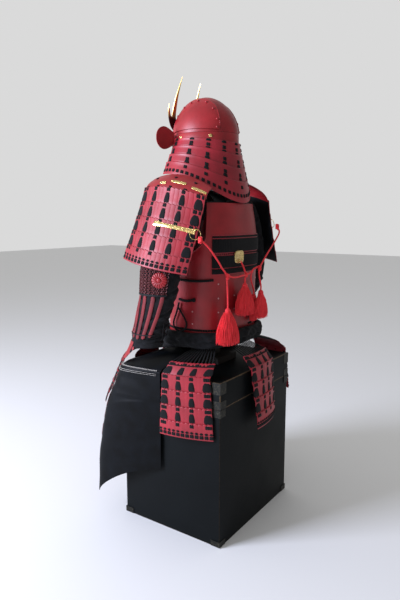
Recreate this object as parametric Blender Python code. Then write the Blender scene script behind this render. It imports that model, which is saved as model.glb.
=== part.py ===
"""A samurai armour set up on its armour chest: helmet with neck guard, cuirass, shoulder
guards, sleeves, belt, tassets, thigh guard and the red cords with tassels on its back.
Metres, +Z up. The armour faces -Y, its left is +X, and the origin is the middle of the
chest's underside on the floor."""

import bmesh
import bpy
import math
import numpy as np
from mathutils import Vector

# Driving dimensions, in metres unless the name says degrees.
GAP = 0.0003             # clearance between pieces that touch
LAME = 0.0026            # thickness of one lacquered plate of a laced row
STEP = 0.0036            # how far each lower lame stands out over the one above
CLOTH = 0.0022           # wall of the padded cloth
PLATE = 0.0024           # wall of the helmet and cuirass plates

CHEST_WIDTH = 0.476      # across the armour, X
CHEST_DEPTH = 0.401      # front to back, Y
CHEST_HEIGHT = 0.550     # with the lid on
LID_HEIGHT = 0.086
CHEST_WALL = 0.009
LID_WALL = 0.007
LID_TOP = 0.010

BODY_Y = 0.018           # centre of the cuirass, front to back
HELMET_Y = -0.015        # centre of the helmet bowl
HELMET_HALF_WIDTH = 0.100
HELMET_HALF_LENGTH = 0.1155
HELMET_BASE = 1.332
HELMET_RISE = 0.125

for old in list(bpy.data.objects):
    bpy.data.objects.remove(old, do_unlink=True)
ARMOUR = bpy.data.collections.new("samurai_armour")
CUTTERS = bpy.data.collections.new("cutters")
bpy.context.scene.collection.children.link(ARMOUR)
bpy.context.scene.collection.children.link(CUTTERS)


def material(name, colour, roughness, metallic=0.0):
    made = bpy.data.materials.new(name)
    made.use_nodes = True
    shader = made.node_tree.nodes["Principled BSDF"]
    shader.inputs["Base Color"].default_value = (*colour, 1.0)
    shader.inputs["Roughness"].default_value = roughness
    shader.inputs["Metallic"].default_value = metallic
    return made


RED_LACQUER = material("red_lacquer", (0.36, 0.035, 0.045), 0.38)
BLACK_LACQUER = material("black_lacquer", (0.012, 0.013, 0.016), 0.32)
BLACK_CLOTH = material("black_cloth", (0.010, 0.010, 0.011), 0.85)
GILT = material("gilt_metal", (0.80, 0.56, 0.20), 0.28, 1.0)
RED_SILK = material("red_silk", (0.75, 0.015, 0.025), 0.55)
PLAIN_WOOD = material("plain_wood", (0.42, 0.29, 0.17), 0.6)


def add_mesh(name, points, faces, finish, smooth_angle=35.0):
    """A mesh object; its faces are turned round where they enclose a negative volume."""
    mesh = bpy.data.meshes.new(name)
    mesh.from_pydata([tuple(p) for p in points], [], [tuple(f) for f in faces])
    shape = bmesh.new()
    shape.from_mesh(mesh)
    if shape.calc_volume(signed=True) < 0:
        bmesh.ops.reverse_faces(shape, faces=shape.faces[:])
    shape.to_mesh(mesh)
    shape.free()
    mesh.shade_smooth()
    mesh.set_sharp_from_angle(angle=math.radians(smooth_angle))
    mesh.materials.append(finish)
    made = bpy.data.objects.new(name, mesh)
    ARMOUR.objects.link(made)
    return made


def two_skins(name, outer, inner, finish, ring=False):
    """A wall between an outer and an inner skin of rows x columns points.
    With ring, the last column joins the first, as round a tube."""
    outer, inner = np.asarray(outer), np.asarray(inner)
    rows, columns = outer.shape[:2]
    count = rows * columns
    points = np.concatenate([outer.reshape(-1, 3), inner.reshape(-1, 3)])

    def at(row, column, skin):
        return skin * count + row * columns + column % columns

    faces = []
    last = columns if ring else columns - 1
    for row in range(rows - 1):
        for column in range(last):
            square = [(row, column), (row, column + 1), (row + 1, column + 1), (row + 1, column)]
            faces.append([at(r, c, 0) for r, c in square])
            faces.append([at(r, c, 1) for r, c in reversed(square)])
    for column in range(last):
        for row, side in ((0, 1), (rows - 1, -1)):
            edge = [at(row, column, 0), at(row, column, 1),
                    at(row, column + 1, 1), at(row, column + 1, 0)]
            faces.append(edge[::side])
    if not ring:
        for row in range(rows - 1):
            for column, side in ((0, -1), (columns - 1, 1)):
                edge = [at(row, column, 0), at(row, column, 1),
                        at(row + 1, column, 1), at(row + 1, column, 0)]
                faces.append(edge[::side])
    return add_mesh(name, points, faces, finish)


def box(name, low, high, finish, bevel=0.002):
    """A block between two corners, its edges eased."""
    shape = bmesh.new()
    bmesh.ops.create_cube(shape, size=1.0)
    low, high = np.array(low), np.array(high)
    for vertex in shape.verts:
        vertex.co = (np.array(vertex.co) + 0.5) * (high - low) + low
    if bevel:
        bmesh.ops.bevel(shape, geom=shape.edges[:], offset=bevel, segments=1, affect="EDGES")
    mesh = bpy.data.meshes.new(name)
    shape.to_mesh(mesh)
    shape.free()
    mesh.materials.append(finish)
    made = bpy.data.objects.new(name, mesh)
    ARMOUR.objects.link(made)
    return made


def box_shell(name, half, profile, finish, y=0.0):
    """A square-cornered shell: loops at (inset from the outside, height), closed both ends."""
    points, faces = [], []
    for inset, z in profile:
        across, deep = half[0] - inset, half[1] - inset
        points += [(-across, y - deep, z), (across, y - deep, z),
                   (across, y + deep, z), (-across, y + deep, z)]
    for band in range(0, 4 * (len(profile) - 1), 4):
        for side in range(4):
            after = (side + 1) % 4
            faces.append([band + side, band + after, band + 4 + after, band + 4 + side])
    last = len(points) - 4
    faces += [[3, 2, 1, 0], [last, last + 1, last + 2, last + 3]]
    return add_mesh(name, points, faces, finish)


def tube(name, route, thickness, finish, spacing, sides=2):
    """A round cord: a bevelled curve through points read off a smooth curve on the route."""
    path = smooth_route(route, spacing)
    curve = bpy.data.curves.new(name, "CURVE")
    curve.dimensions = "3D"
    curve.bevel_depth = thickness / 2
    curve.bevel_resolution = sides
    curve.use_fill_caps = True
    line = curve.splines.new("POLY")
    line.points.add(len(path) - 1)
    for point, place in zip(line.points, path):
        point.co = (*place, 1.0)
    curve.materials.append(finish)
    made = bpy.data.objects.new(name, curve)
    ARMOUR.objects.link(made)
    return made


def smooth_route(route, spacing):
    """Points at even spacing on a Catmull-Rom curve through the route's own points."""
    given = np.array(route, float)
    ends = [2 * given[0] - given[1], *given, 2 * given[-1] - given[-2]]
    dense = []
    for before, start, stop, after in zip(ends, ends[1:], ends[2:], ends[3:]):
        for t in np.linspace(0, 1, 24, endpoint=False):
            dense.append(0.5 * (2 * start + (stop - before) * t
                                + (2 * before - 5 * start + 4 * stop - after) * t ** 2
                                + (3 * start - before - 3 * stop + after) * t ** 3))
    dense = np.array([*dense, given[-1]])
    along = np.concatenate([[0], np.cumsum(np.linalg.norm(np.diff(dense, axis=0), axis=1))])
    stations = np.linspace(0, along[-1], max(4, round(along[-1] / spacing)))
    return np.stack([np.interp(stations, along, dense[:, axis]) for axis in range(3)], axis=1)


# The chest: an open box with a lift-off lid whose skirt comes down outside it.
def chest():
    lid_half = np.array([CHEST_WIDTH / 2, CHEST_DEPTH / 2])
    lid_foot = CHEST_HEIGHT - LID_HEIGHT
    # From the floor up its outside, over the thinner rim inside the lid, and down inside.
    thick = CHEST_WALL + LID_WALL
    box_shell("chest_body", lid_half - 0.001, [
        (0.0, 0.0), (0.0, lid_foot - GAP), (LID_WALL + GAP, lid_foot - GAP),
        (LID_WALL + GAP, CHEST_HEIGHT - LID_TOP - GAP),
        (thick, CHEST_HEIGHT - LID_TOP - GAP), (thick, 0.012)], BLACK_LACQUER)
    box_shell("chest_lid", lid_half, [
        (0.0, CHEST_HEIGHT), (0.0, lid_foot), (LID_WALL, lid_foot),
        (LID_WALL, CHEST_HEIGHT - LID_TOP)], BLACK_LACQUER)


# The wooden stand inside the armour, which rests on the lid.
POST_HALF = 0.018
SHOULDER_BAR_TOP = 1.1420
SHOULDER_BAR_HALF = 0.1668


def stand():
    foot_half, foot_height = 0.060, 0.022
    foot_bottom = CHEST_HEIGHT + GAP
    step = foot_half - POST_HALF
    box_shell("stand_post", (foot_half, foot_half), [
        (0.0, foot_bottom), (0.0, foot_bottom + foot_height), (step, foot_bottom + foot_height),
        (step, SHOULDER_BAR_TOP - 0.030 - GAP)], PLAIN_WOOD, BODY_Y)
    box("stand_shoulder_bar", (-SHOULDER_BAR_HALF, BODY_Y - 0.015, SHOULDER_BAR_TOP - 0.030),
        (SHOULDER_BAR_HALF, BODY_Y + 0.015, SHOULDER_BAR_TOP), PLAIN_WOOD, 0.003)
    box("stand_head", (-0.016, BODY_Y - 0.016, SHOULDER_BAR_TOP + GAP),
        (0.016, BODY_Y + 0.016, HELMET_BASE + bowl_height(0.016, BODY_Y + 0.016) - 0.0026),
        PLAIN_WOOD)


# The helmet: a bowl with a strip from front to back, and a plate on each side over it.
BOWL_ROWS = 8
BOWL_COLUMNS = 26


def bowl_radius(height):
    """How much of the base outline is left at a height of 0 to 1 up the bowl."""
    return (1 - height ** 1.8) ** (1 / 1.9)


def bowl_height(x, y):
    """Height of the bowl's outside over its base above a place in plan."""
    reach = math.hypot(x / HELMET_HALF_WIDTH, (y - HELMET_Y) / HELMET_HALF_LENGTH)
    return HELMET_RISE * (1 - reach ** 1.9) ** (1 / 1.8)


def bowl_point(height, turn, out=0.0):
    """A point on the bowl, turn in radians from the back; out moves it off the surface."""
    reach = bowl_radius(height)
    wide, long = HELMET_HALF_WIDTH * reach, HELMET_HALF_LENGTH * reach
    rise = 0.15 + 0.85 * height ** 2
    side = math.sqrt(max(0.0, 1 - rise ** 2))
    return ((wide + out * side) * math.sin(turn),
            HELMET_Y + (long + out * side) * math.cos(turn),
            HELMET_BASE + HELMET_RISE * height + out * rise)


def helmet():
    heights = [math.sin(t) ** 0.9 for t in np.linspace(0, 0.94 * math.pi / 2, BOWL_ROWS)]
    turns = np.linspace(0, 2 * math.pi, BOWL_COLUMNS, endpoint=False)
    outer = [[bowl_point(h, t) for t in turns] for h in heights]
    inner = [[bowl_point(h, t, -PLATE) for t in turns] for h in heights]
    points = [p for row in outer for p in row] + [p for row in inner for p in row]
    crown_out, crown_in = len(points), len(points) + 1
    points += [(0, HELMET_Y, HELMET_BASE + HELMET_RISE),
               (0, HELMET_Y, HELMET_BASE + HELMET_RISE - PLATE)]
    count = BOWL_ROWS * BOWL_COLUMNS
    faces = []
    for column in range(BOWL_COLUMNS):
        after = (column + 1) % BOWL_COLUMNS
        for row in range(BOWL_ROWS - 1):
            low, high = row * BOWL_COLUMNS, (row + 1) * BOWL_COLUMNS
            faces.append([low + column, low + after, high + after, high + column])
            faces.append([count + high + column, count + high + after,
                          count + low + after, count + low + column])
        top = (BOWL_ROWS - 1) * BOWL_COLUMNS
        faces.append([top + column, top + after, crown_out])
        faces.append([count + top + after, count + top + column, crown_in])
        faces.append([column, count + column, count + after, after])
    add_mesh("helmet_bowl", points, faces, RED_LACQUER, 60)

    # The side plates run from the strip's edge down to the band; the strip flares at its ends.
    strip_half = 0.039
    rows, columns = 7, 12
    for side, name in ((1, "helmet_side_left"), (-1, "helmet_side_right")):
        skins = []
        for out in (0.0040, 0.0020):
            skin = []
            for row in range(rows):
                line = []
                for column in range(columns):
                    along = -1 + 2 * column / (columns - 1)
                    ahead = 0.80 * HELMET_HALF_LENGTH * math.sin(along * math.pi / 2)
                    y = HELMET_Y + ahead
                    half = HELMET_HALF_WIDTH * math.sqrt(1 - (ahead / HELMET_HALF_LENGTH) ** 2)
                    flare = max(0.0, (abs(ahead) - 0.060) / 0.0324) ** 1.6
                    edge = min(strip_half + 0.019 * flare, 0.955 * half)
                    blend = math.sin(row / (rows - 1) * math.pi / 2)
                    x = edge + (0.995 * half - edge) * blend
                    reach = math.hypot(x / HELMET_HALF_WIDTH,
                                       (y - HELMET_Y) / HELMET_HALF_LENGTH)
                    height = (1 - min(reach, 1.0) ** 1.9) ** (1 / 1.8)
                    turn = math.atan2(x / HELMET_HALF_WIDTH,
                                      (y - HELMET_Y) / HELMET_HALF_LENGTH)
                    place = bowl_point(height, turn, out)
                    line.append((side * place[0], place[1], max(place[2], HELMET_BASE + 0.001)))
                skin.append(line)
            skins.append(skin)
        two_skins(name, skins[0], skins[1], RED_LACQUER)

    band_top, band_foot = HELMET_BASE - 0.0008, HELMET_BASE - 0.036
    turns = np.linspace(0, 2 * math.pi, BOWL_COLUMNS, endpoint=False)

    def hoop(z, out):
        return [((HELMET_HALF_WIDTH + out) * math.sin(t),
                 HELMET_Y + (HELMET_HALF_LENGTH + out) * math.cos(t), z) for t in turns]

    two_skins("helmet_band", [hoop(band_top, 0.0005), hoop(band_foot, 0.0015)],
              [hoop(band_top, -PLATE), hoop(band_foot, -PLATE)], RED_LACQUER, ring=True)

    # The brim stands out from the band's front.
    turns_front = np.linspace(math.radians(122), math.radians(238), 14)
    brim_rows = []
    for share in (0.0, 0.5, 1.0):
        line = []
        for turn in turns_front:
            bulge = max(0.0, math.cos((turn - math.pi) / math.radians(58) * math.pi / 2)) ** 0.7
            out = 0.0015 + GAP + share * 0.038 * max(bulge, 0.05)
            line.append(((HELMET_HALF_WIDTH + out) * math.sin(turn),
                         HELMET_Y + (HELMET_HALF_LENGTH + out) * math.cos(turn),
                         HELMET_BASE - 0.005 - 0.016 * share ** 1.5 * bulge))
        brim_rows.append(line)
    brim_rows = np.array(brim_rows)
    two_skins("helmet_brim", brim_rows + (0, 0, PLATE / 2), brim_rows - (0, 0, PLATE / 2),
              RED_LACQUER)


# The crest: a flat horned plate on the brow, with a plain round boss before it.
CREST_OUTLINE = [                # x, height over the base of the crest, right half
    (0.000, 0.000), (0.026, 0.002), (0.050, 0.012), (0.071, 0.034), (0.085, 0.060),
    (0.0895, 0.086), (0.078, 0.064), (0.068, 0.050), (0.060, 0.048), (0.0640, 0.075),
    (0.0635, 0.116), (0.0535, 0.180), (0.0525, 0.124), (0.048, 0.085), (0.040, 0.050),
    (0.024, 0.032), (0.000, 0.028)]
CREST_FOOT = (0.0, -0.1305, 1.352)
CREST_LEAN = math.radians(18)
CREST_THICK = 0.002


def crest():
    left = [(-x, z) for x, z in reversed(CREST_OUTLINE[1:-1])]
    outline = CREST_OUTLINE + left
    curve = bpy.data.curves.new("crest_horns", "CURVE")
    curve.dimensions = "2D"
    curve.fill_mode = "BOTH"
    curve.extrude = CREST_THICK / 2
    line = curve.splines.new("POLY")
    line.points.add(len(outline) - 1)
    line.use_cyclic_u = True
    for point, (x, z) in zip(line.points, outline):
        point.co = (x, z, 0.0, 1.0)
    flat = bpy.data.objects.new("crest_outline", curve)
    CUTTERS.objects.link(flat)
    bpy.context.view_layer.update()
    mesh = bpy.data.meshes.new_from_object(flat.evaluated_get(
        bpy.context.evaluated_depsgraph_get()))
    bpy.data.objects.remove(flat)
    shape = bmesh.new()
    shape.from_mesh(mesh)
    bmesh.ops.remove_doubles(shape, verts=shape.verts, dist=0.00002)
    bmesh.ops.triangulate(shape, faces=shape.faces[:])
    bmesh.ops.recalc_face_normals(shape, faces=shape.faces[:])
    shape.to_mesh(mesh)
    shape.free()
    mesh.materials.append(GILT)
    horns = bpy.data.objects.new("crest_horns", mesh)
    horns.location = CREST_FOOT
    horns.rotation_euler = (math.pi / 2 - CREST_LEAN, 0, 0)
    ARMOUR.objects.link(horns)

    bpy.ops.mesh.primitive_cylinder_add(vertices=28, radius=0.024, depth=0.004)
    disc = bpy.context.object
    disc.name = disc.data.name = "crest_disc"
    out = CREST_THICK / 2 + 0.002 + GAP
    rise = 0.020
    disc.location = (0.0,
                     CREST_FOOT[1] + rise * math.sin(CREST_LEAN) - out * math.cos(CREST_LEAN),
                     CREST_FOOT[2] + rise * math.cos(CREST_LEAN) + out * math.sin(CREST_LEAN))
    disc.rotation_euler = (math.pi / 2 - CREST_LEAN, 0, 0)
    disc.data.materials.append(RED_LACQUER)
    for holder in list(disc.users_collection):
        holder.objects.unlink(disc)
    ARMOUR.objects.link(disc)


# The neck guard: four lames, each lower one outside the one above, open at the face.
NECK_LAMES = [               # top and foot of each, as a share of the way down
    (0.012, 0.245), (0.210, 0.465), (0.430, 0.685), (0.650, 1.000)]
NECK_REACH = math.radians(123)       # how far round from the back each lame goes
NECK_TOP = dict(wide=0.1006, long=0.1163, front=1.317, back=1.303)
NECK_RIM = dict(wide=0.162, long=0.152, front=1.198, back=1.103)


def neck_point(down, turn, out):
    """A point of the neck guard; down is 0 at its top and 1 at its rim."""
    def between(key, power=1.0):
        return NECK_TOP[key] + (NECK_RIM[key] - NECK_TOP[key]) * down ** power
    turned = (math.cos(turn) - math.cos(NECK_REACH)) / (1 - math.cos(NECK_REACH))
    sweep = turned ** 2.3
    z = between("front") + (between("back") - between("front")) * sweep
    return ((between("wide") + out) * math.sin(turn),
            HELMET_Y + (between("long") + out) * math.cos(turn), z)


def neck_guard():
    turns = np.linspace(-NECK_REACH, NECK_REACH, 27)
    for number, (top, foot) in enumerate(NECK_LAMES):
        rows = ((top, STEP), (foot, 0.0))
        outer = [[neck_point(down, t, out) for t in turns] for down, out in rows]
        inner = [[neck_point(down, t, out - LAME) for t in turns] for down, out in rows]
        two_skins(f"neck_lame_{number + 1}", outer, inner, RED_LACQUER)


# The turned-back ear plates on the ends of the top lame.
EAR_ROOT = (0.0900, -0.0830)
EAR_TIP = (0.152, -0.116)
EAR_MIDDLE = 1.318
EAR_HALF_HEIGHT = 0.037


def ear_plates():
    root, tip = np.array(EAR_ROOT), np.array(EAR_TIP)
    normal = np.array([root[1] - tip[1], tip[0] - root[0]])
    normal = normal / np.linalg.norm(normal)
    for side, name in ((1, "ear_plate_left"), (-1, "ear_plate_right")):
        skins = []
        for out in (PLATE / 2, -PLATE / 2):
            skin = []
            for across in np.linspace(0, 1, 9):
                half = EAR_HALF_HEIGHT * (0.45 + 0.55 * math.sin(math.pi / 2
                                                                 * min(1, across * 1.7)))
                half *= math.sqrt(max(0.04, 1 - max(0.0, (across - 0.55) / 0.46) ** 2))
                curl = 0.010 * across ** 2
                flat = root + (tip - root) * across + normal * (out + curl)
                skin.append([(side * flat[0], flat[1], EAR_MIDDLE + half * up)
                             for up in np.linspace(-1, 1, 4)])
            skins.append(skin)
        two_skins(name, skins[0], skins[1], RED_LACQUER)


# The cuirass: a front and a back half of upright plates, cut away for the arms.
TORSO = [                    # height, half width, half depth
    (0.672, 0.1670, 0.1180), (0.700, 0.1660, 0.1175), (0.760, 0.1650, 0.1165),
    (0.850, 0.1680, 0.1180), (0.930, 0.1720, 0.1210), (0.990, 0.1700, 0.1210),
    (1.050, 0.1600, 0.1150), (1.105, 0.1500, 0.1070)]
SQUARENESS = 3.0             # 2 is an oval section, more is squarer
ARMHOLE_FOOT = 0.925
ARMHOLE_TOP = 0.995
BACK_HALF_TURN = math.radians(57)
FRONT_HALF_TURN = math.radians(50)


def torso_at(z):
    table = np.array(TORSO)
    return np.interp(z, table[:, 0], table[:, 1]), np.interp(z, table[:, 0], table[:, 2])


def torso_point(z, turn, out=0.0):
    """A point on the cuirass, turn from the back towards its left side."""
    wide, deep = torso_at(z)
    sine, cosine = math.sin(turn), math.cos(turn)
    reach = (abs(sine) ** SQUARENESS + abs(cosine) ** SQUARENESS) ** (-1 / SQUARENESS)
    sine, cosine = sine * reach, cosine * reach
    across = math.copysign(abs(sine) ** (SQUARENESS - 1), sine) / wide
    along = math.copysign(abs(cosine) ** (SQUARENESS - 1), cosine) / deep
    push = out / math.hypot(across, along)
    return (wide * sine + push * across, BODY_Y + deep * cosine + push * along, z)


def side_turn(z, narrow):
    """Where a half ends: at the side seam, and at the armhole's edge higher up."""
    share = min(1.0, max(0.0, (z - ARMHOLE_FOOT) / (ARMHOLE_TOP - ARMHOLE_FOOT)))
    seam = math.pi / 2 - 0.0012
    return seam + (narrow - seam) * math.sin(share * math.pi / 2)


def cuirass():
    heights = [0.672, 0.73, 0.83, 0.925, 0.940, 0.960, 0.995, 1.05]
    for name, middle, narrow, top in (("cuirass_back", 0.0, BACK_HALF_TURN, 1.102),
                                      ("cuirass_front", math.pi, FRONT_HALF_TURN, 1.072)):
        levels = [z for z in heights if z < top - 0.01] + [top]
        skins = []
        for out in (0.0, -PLATE):
            skins.append([[torso_point(z, middle + side_turn(z, narrow) * share, out)
                           for share in np.linspace(-1, 1, 19)] for z in levels])
        two_skins(name, skins[0], skins[1], RED_LACQUER)


BACK_BAND = [                # height, how far it stands off the back plate's outside
    (1.000, 0.0036), (0.986, 0.0036), (0.9859, 0.0046), (0.9425, 0.0046),
    (0.9424, 0.0036), (0.9330, 0.0036), (0.9329, 0.0046), (0.8925, 0.0046),
    (0.8924, 0.0036), (0.8720, 0.0036)]


def back_band():
    """The laced rows across the back plate: black lacing stands out over the red rows."""
    turns = np.linspace(-math.radians(49.4), math.radians(49.4), 13)
    outer = [[torso_point(z, t, out) for t in turns] for z, out in BACK_BAND]
    inner = [[torso_point(z, t, 0.0016) for t in turns] for z, out in BACK_BAND]
    two_skins("back_band", outer, inner, BLACK_CLOTH)


STRAP_INNER, STRAP_OUTER = 0.062, 0.112
STRAP_FOOT = 1.045


def straps():
    """Each strap runs up inside the back plate, over the shoulder and down into the front."""
    thick = 0.004
    # The bar's edges touch first, because the strap is round over it.
    crest_z = SHOULDER_BAR_TOP + GAP + thick + 0.0012
    for side, name in ((1, "shoulder_strap_left"), (-1, "shoulder_strap_right")):
        skins = []
        for depth in (0.0, thick):
            skin = []
            for angle in np.linspace(0, math.pi, 15):
                line = []
                lift = math.sin(angle) ** 0.62
                z = STRAP_FOOT + (crest_z - depth - STRAP_FOOT) * lift
                wide, deep = torso_at(min(z + 0.004, TORSO[-1][0]))
                for x in np.linspace(STRAP_INNER, STRAP_OUTER, 4):
                    reach = deep * (1 - (x / wide) ** SQUARENESS) ** (1 / SQUARENESS)
                    y = BODY_Y + (reach - PLATE - 0.0010 - depth) * math.cos(angle)
                    line.append((side * x, y, z))
                skin.append(line)
            skins.append(skin)
        two_skins(name, skins[0], skins[1], BLACK_LACQUER)


# The belt: one long cloth wound round the lower edge of the cuirass, twisted and creased.
BELT_MIDDLE = 0.656
BELT_HALF_HEIGHT = 0.026
BELT_HALF_THICK = 0.012


def belt():
    rows = []
    columns = 40
    for angle in np.linspace(0, 2 * math.pi, 8, endpoint=False):
        line = []
        for turn in np.linspace(0, 2 * math.pi, columns, endpoint=False):
            crease = 0.0022 * math.sin(9 * turn + 2.4 * angle) * max(0.0, math.cos(angle) + 0.6)
            out = 0.0016 + BELT_HALF_THICK * (1 + math.cos(angle)) + crease
            sag = 0.002 * math.sin(2 * turn + 0.6)
            z = BELT_MIDDLE + sag + BELT_HALF_HEIGHT * math.sin(angle)
            line.append(torso_point(0.700, turn, out)[:2] + (z,))
        rows.append(line)
    rows = np.array(rows)
    ring, around = rows.shape[:2]
    faces = [[r * around + c, r * around + (c + 1) % around,
              (r + 1) % ring * around + (c + 1) % around, (r + 1) % ring * around + c]
             for r in range(ring) for c in range(around)]
    add_mesh("belt", rows.reshape(-1, 3), faces, BLACK_CLOTH, 60)


# Laced panels: rows of lames, each lower one over the foot of the one above.
def laced_rows(lames, lead=()):
    """Outer rows (down, out) and inner rows of a panel of lames between 0 and 1."""
    outer, inner = list(lead), [(down, 0.0) for down, out in lead]
    for number in range(lames):
        top, foot = number / lames, (number + 1) / lames
        outer += [(top, LAME + STEP), (foot, LAME)]
        inner += [(top + 0.004, 0.0), (foot - 0.004, 0.0)]
    return outer, inner


def laced_panel(name, place, lames, columns, lead=()):
    outer, inner = laced_rows(lames, lead)
    across = np.linspace(-1, 1, columns)
    skins = [[[place(down, share, out) for share in across] for down, out in rows]
             for rows in (outer, inner)]
    return two_skins(name, skins[0], skins[1], RED_LACQUER)


# Tassets: each hangs by black lacing from the cuirass's lower edge, inside the belt.
TASSET_LAMES = 5
LACING_TOP, LACING_FOOT = 0.6715, 0.6210
TASSETS = {      # turn of its lacing and half its spread in degrees, how round it bows, and
    # stations at the first lame's top, the second's and the foot: x, y, z, facing, half width
    "tasset_left_rear": (62, 19, 0.010, [
        (0.2280, 0.0910, 0.6000, 21, 0.074), (0.2660, 0.0890, 0.5640, 16, 0.080),
        (0.2675, 0.0900, 0.3600, 13, 0.093)]),
    "tasset_right_rear": (62, 19, 0.010, [
        (0.2270, 0.1050, 0.6000, 21, 0.070), (0.2600, 0.1120, 0.5660, 10, 0.074),
        (0.2680, 0.1180, 0.4050, 6, 0.080)]),
    "tasset_back": (0, 22, 0.008, [
        (0.0000, 0.1850, 0.6000, 90, 0.080), (-0.0050, 0.2140, 0.5640, 92, 0.082),
        (-0.0250, 0.2270, 0.3500, 97, 0.080)]),
    "tasset_left_front": (127, 15, 0.005, [
        (0.1490, -0.2150, 0.6000, -55.3, 0.066), (0.1720, -0.2500, 0.5600, -55.3, 0.070),
        (0.2070, -0.3040, 0.4100, -55.3, 0.076)]),
    "tasset_right_front": (127, 15, 0.005, [
        (0.1490, -0.2150, 0.6000, -55.3, 0.066), (0.1720, -0.2500, 0.5600, -55.3, 0.070),
        (0.2070, -0.3040, 0.4100, -55.3, 0.076)]),
    "tasset_front_left": (162, 13, 0.006, [
        (0.0800, -0.1900, 0.6000, -88, 0.064), (0.0800, -0.2210, 0.5650, -90, 0.067),
        (0.0800, -0.2540, 0.4000, -97, 0.070)]),
    "tasset_front_right": (162, 13, 0.006, [
        (0.0800, -0.1900, 0.6000, -88, 0.064), (0.0800, -0.2210, 0.5650, -90, 0.067),
        (0.0800, -0.2540, 0.4000, -97, 0.070)]),
}


def tasset_place(turn, spread, bow, stations, side):
    """Down is 0 at the first lame's top and 1 at the foot; the lacing above it runs to -1."""
    table = np.array(stations)
    where = [0.0, 0.2, 1.0]

    def laid(down, share, out):
        x, y, z, facing, half = (np.interp(down, where, table[:, key]) for key in range(5))
        facing = math.radians(facing)
        normal = np.array([math.cos(facing), math.sin(facing)])
        tangent = np.array([-normal[1], normal[0]])
        round_out = bow * (0.6 - share ** 2)
        flat = np.array([x, y]) + tangent * half * share + normal * (out + round_out)
        return np.array([side * flat[0], flat[1], z])

    def place(down, share, out):
        if down >= 0:
            return laid(down, share, out)
        # A turn from the back grows towards the left, where the panel's share falls.
        across = math.radians(turn - spread * share)
        z = np.interp(down, (-1.0, -0.5), (LACING_TOP, LACING_FOOT))
        hung = np.array(torso_point(z, across, out - 0.0024)) * (side, 1, 1)
        return hung + (laid(0, share, out) - hung) * max(0.0, 1 + down / 0.5)
    return place


def tassets():
    lead = ((-1.0, 0.002), (-0.5, 0.002), (-0.012, 0.002))
    for name, (turn, spread, bow, stations) in TASSETS.items():
        side = -1 if "right" in name else 1
        place = tasset_place(turn, spread, bow, stations, side)
        laced_panel(name, place, TASSET_LAMES, 7, lead)


# Shoulder guards: a laced panel hung from a crown plate that arches over the shoulder.
GUARD_LAMES = 5
GUARD_TOP = (0.203, 1.151, 1.117)     # x, height at the front edge, at the rear edge
GUARD_FOOT = (0.296, 0.924, 0.884)
GUARD_FRONT_Y = (-0.116, -0.135)
GUARD_REAR_Y = (0.124, 0.117)
GUARD_BOW = (0.024, 0.036)
CROWN_HEIGHT = 0.068


def guard_place(side):
    def place(down, share, out):
        to_rear = (share + 1) / 2
        x = GUARD_TOP[0] + (GUARD_FOOT[0] - GUARD_TOP[0]) * down ** 1.15
        front = GUARD_TOP[1] + (GUARD_FOOT[1] - GUARD_TOP[1]) * down
        rear = GUARD_TOP[2] + (GUARD_FOOT[2] - GUARD_TOP[2]) * down
        y_front = GUARD_FRONT_Y[0] + (GUARD_FRONT_Y[1] - GUARD_FRONT_Y[0]) * down
        y_rear = GUARD_REAR_Y[0] + (GUARD_REAR_Y[1] - GUARD_REAR_Y[0]) * down
        bow = GUARD_BOW[0] + (GUARD_BOW[1] - GUARD_BOW[0]) * down
        arch = 1 - share ** 2
        z = front + (rear - front) * to_rear + 0.014 * (1 - down) * arch
        lean = 0.38
        return (side * (x + bow * arch + out * math.cos(lean)),
                y_front + (y_rear - y_front) * to_rear, z + out * math.sin(lean))
    return place


def crown_place(side):
    """The crown plate starts inside the panel's top and leans in towards the neck."""
    panel = guard_place(1)

    def place(up, share, out):
        x, y, z = panel(0.03, share, -GAP - 0.0004)
        tall = CROWN_HEIGHT * (0.72 + 0.28 * (1 - share ** 2))
        lean = math.radians(42) * up ** 0.6
        x_in = x - up * tall * math.sin(lean) * 1.25
        z_up = z + up * tall * math.cos(lean)
        nearer = 1 - 0.05 * up
        return (side * (x_in + out * math.cos(lean)), 0.004 + (y - 0.004) * nearer,
                z_up + out * math.sin(lean))
    return place


def shoulder_guards():
    for side, end in ((1, "left"), (-1, "right")):
        laced_panel(f"shoulder_guard_{end}", guard_place(side), GUARD_LAMES, 11)
        place = crown_place(side)
        skins = [[[place(up, share, out) for share in np.linspace(-1, 1, 11)]
                  for up in np.linspace(0, 1, 4)] for out in (0.0, -PLATE)]
        two_skins(f"guard_crown_{end}", skins[0], skins[1], RED_LACQUER)


# Sleeves: padded cloth tubes from the shoulder to the wrist.
SLEEVE = [                   # centre x, y, z, half breadth across the arm, half depth along Y
    (0.1480, 0.010, 1.1110, 0.037, 0.062), (0.1830, 0.010, 1.0850, 0.0415, 0.070),
    (0.2224, 0.008, 1.0300, 0.0435, 0.072), (0.2545, 0.005, 0.9600, 0.043, 0.070),
    (0.2740, 0.001, 0.8850, 0.045, 0.071), (0.2790, -0.004, 0.8200, 0.045, 0.066),
    (0.2720, -0.030, 0.7500, 0.045, 0.063), (0.2680, -0.054, 0.6900, 0.046, 0.059),
    (0.2660, -0.069, 0.6420, 0.045, 0.057)]
SLEEVE_FOLDS = [             # station along the sleeve, turn in degrees, depth, spread
    (3.3, 200, 0.005, 0.8), (4.6, 165, 0.006, 0.9), (5.2, 230, 0.005, 0.7),
    (5.9, 140, 0.006, 0.8), (6.6, 250, 0.005, 0.7), (7.3, 180, 0.006, 0.8)]
SLEEVE_ROWS = 17
SLEEVE_COLUMNS = 16


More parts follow.
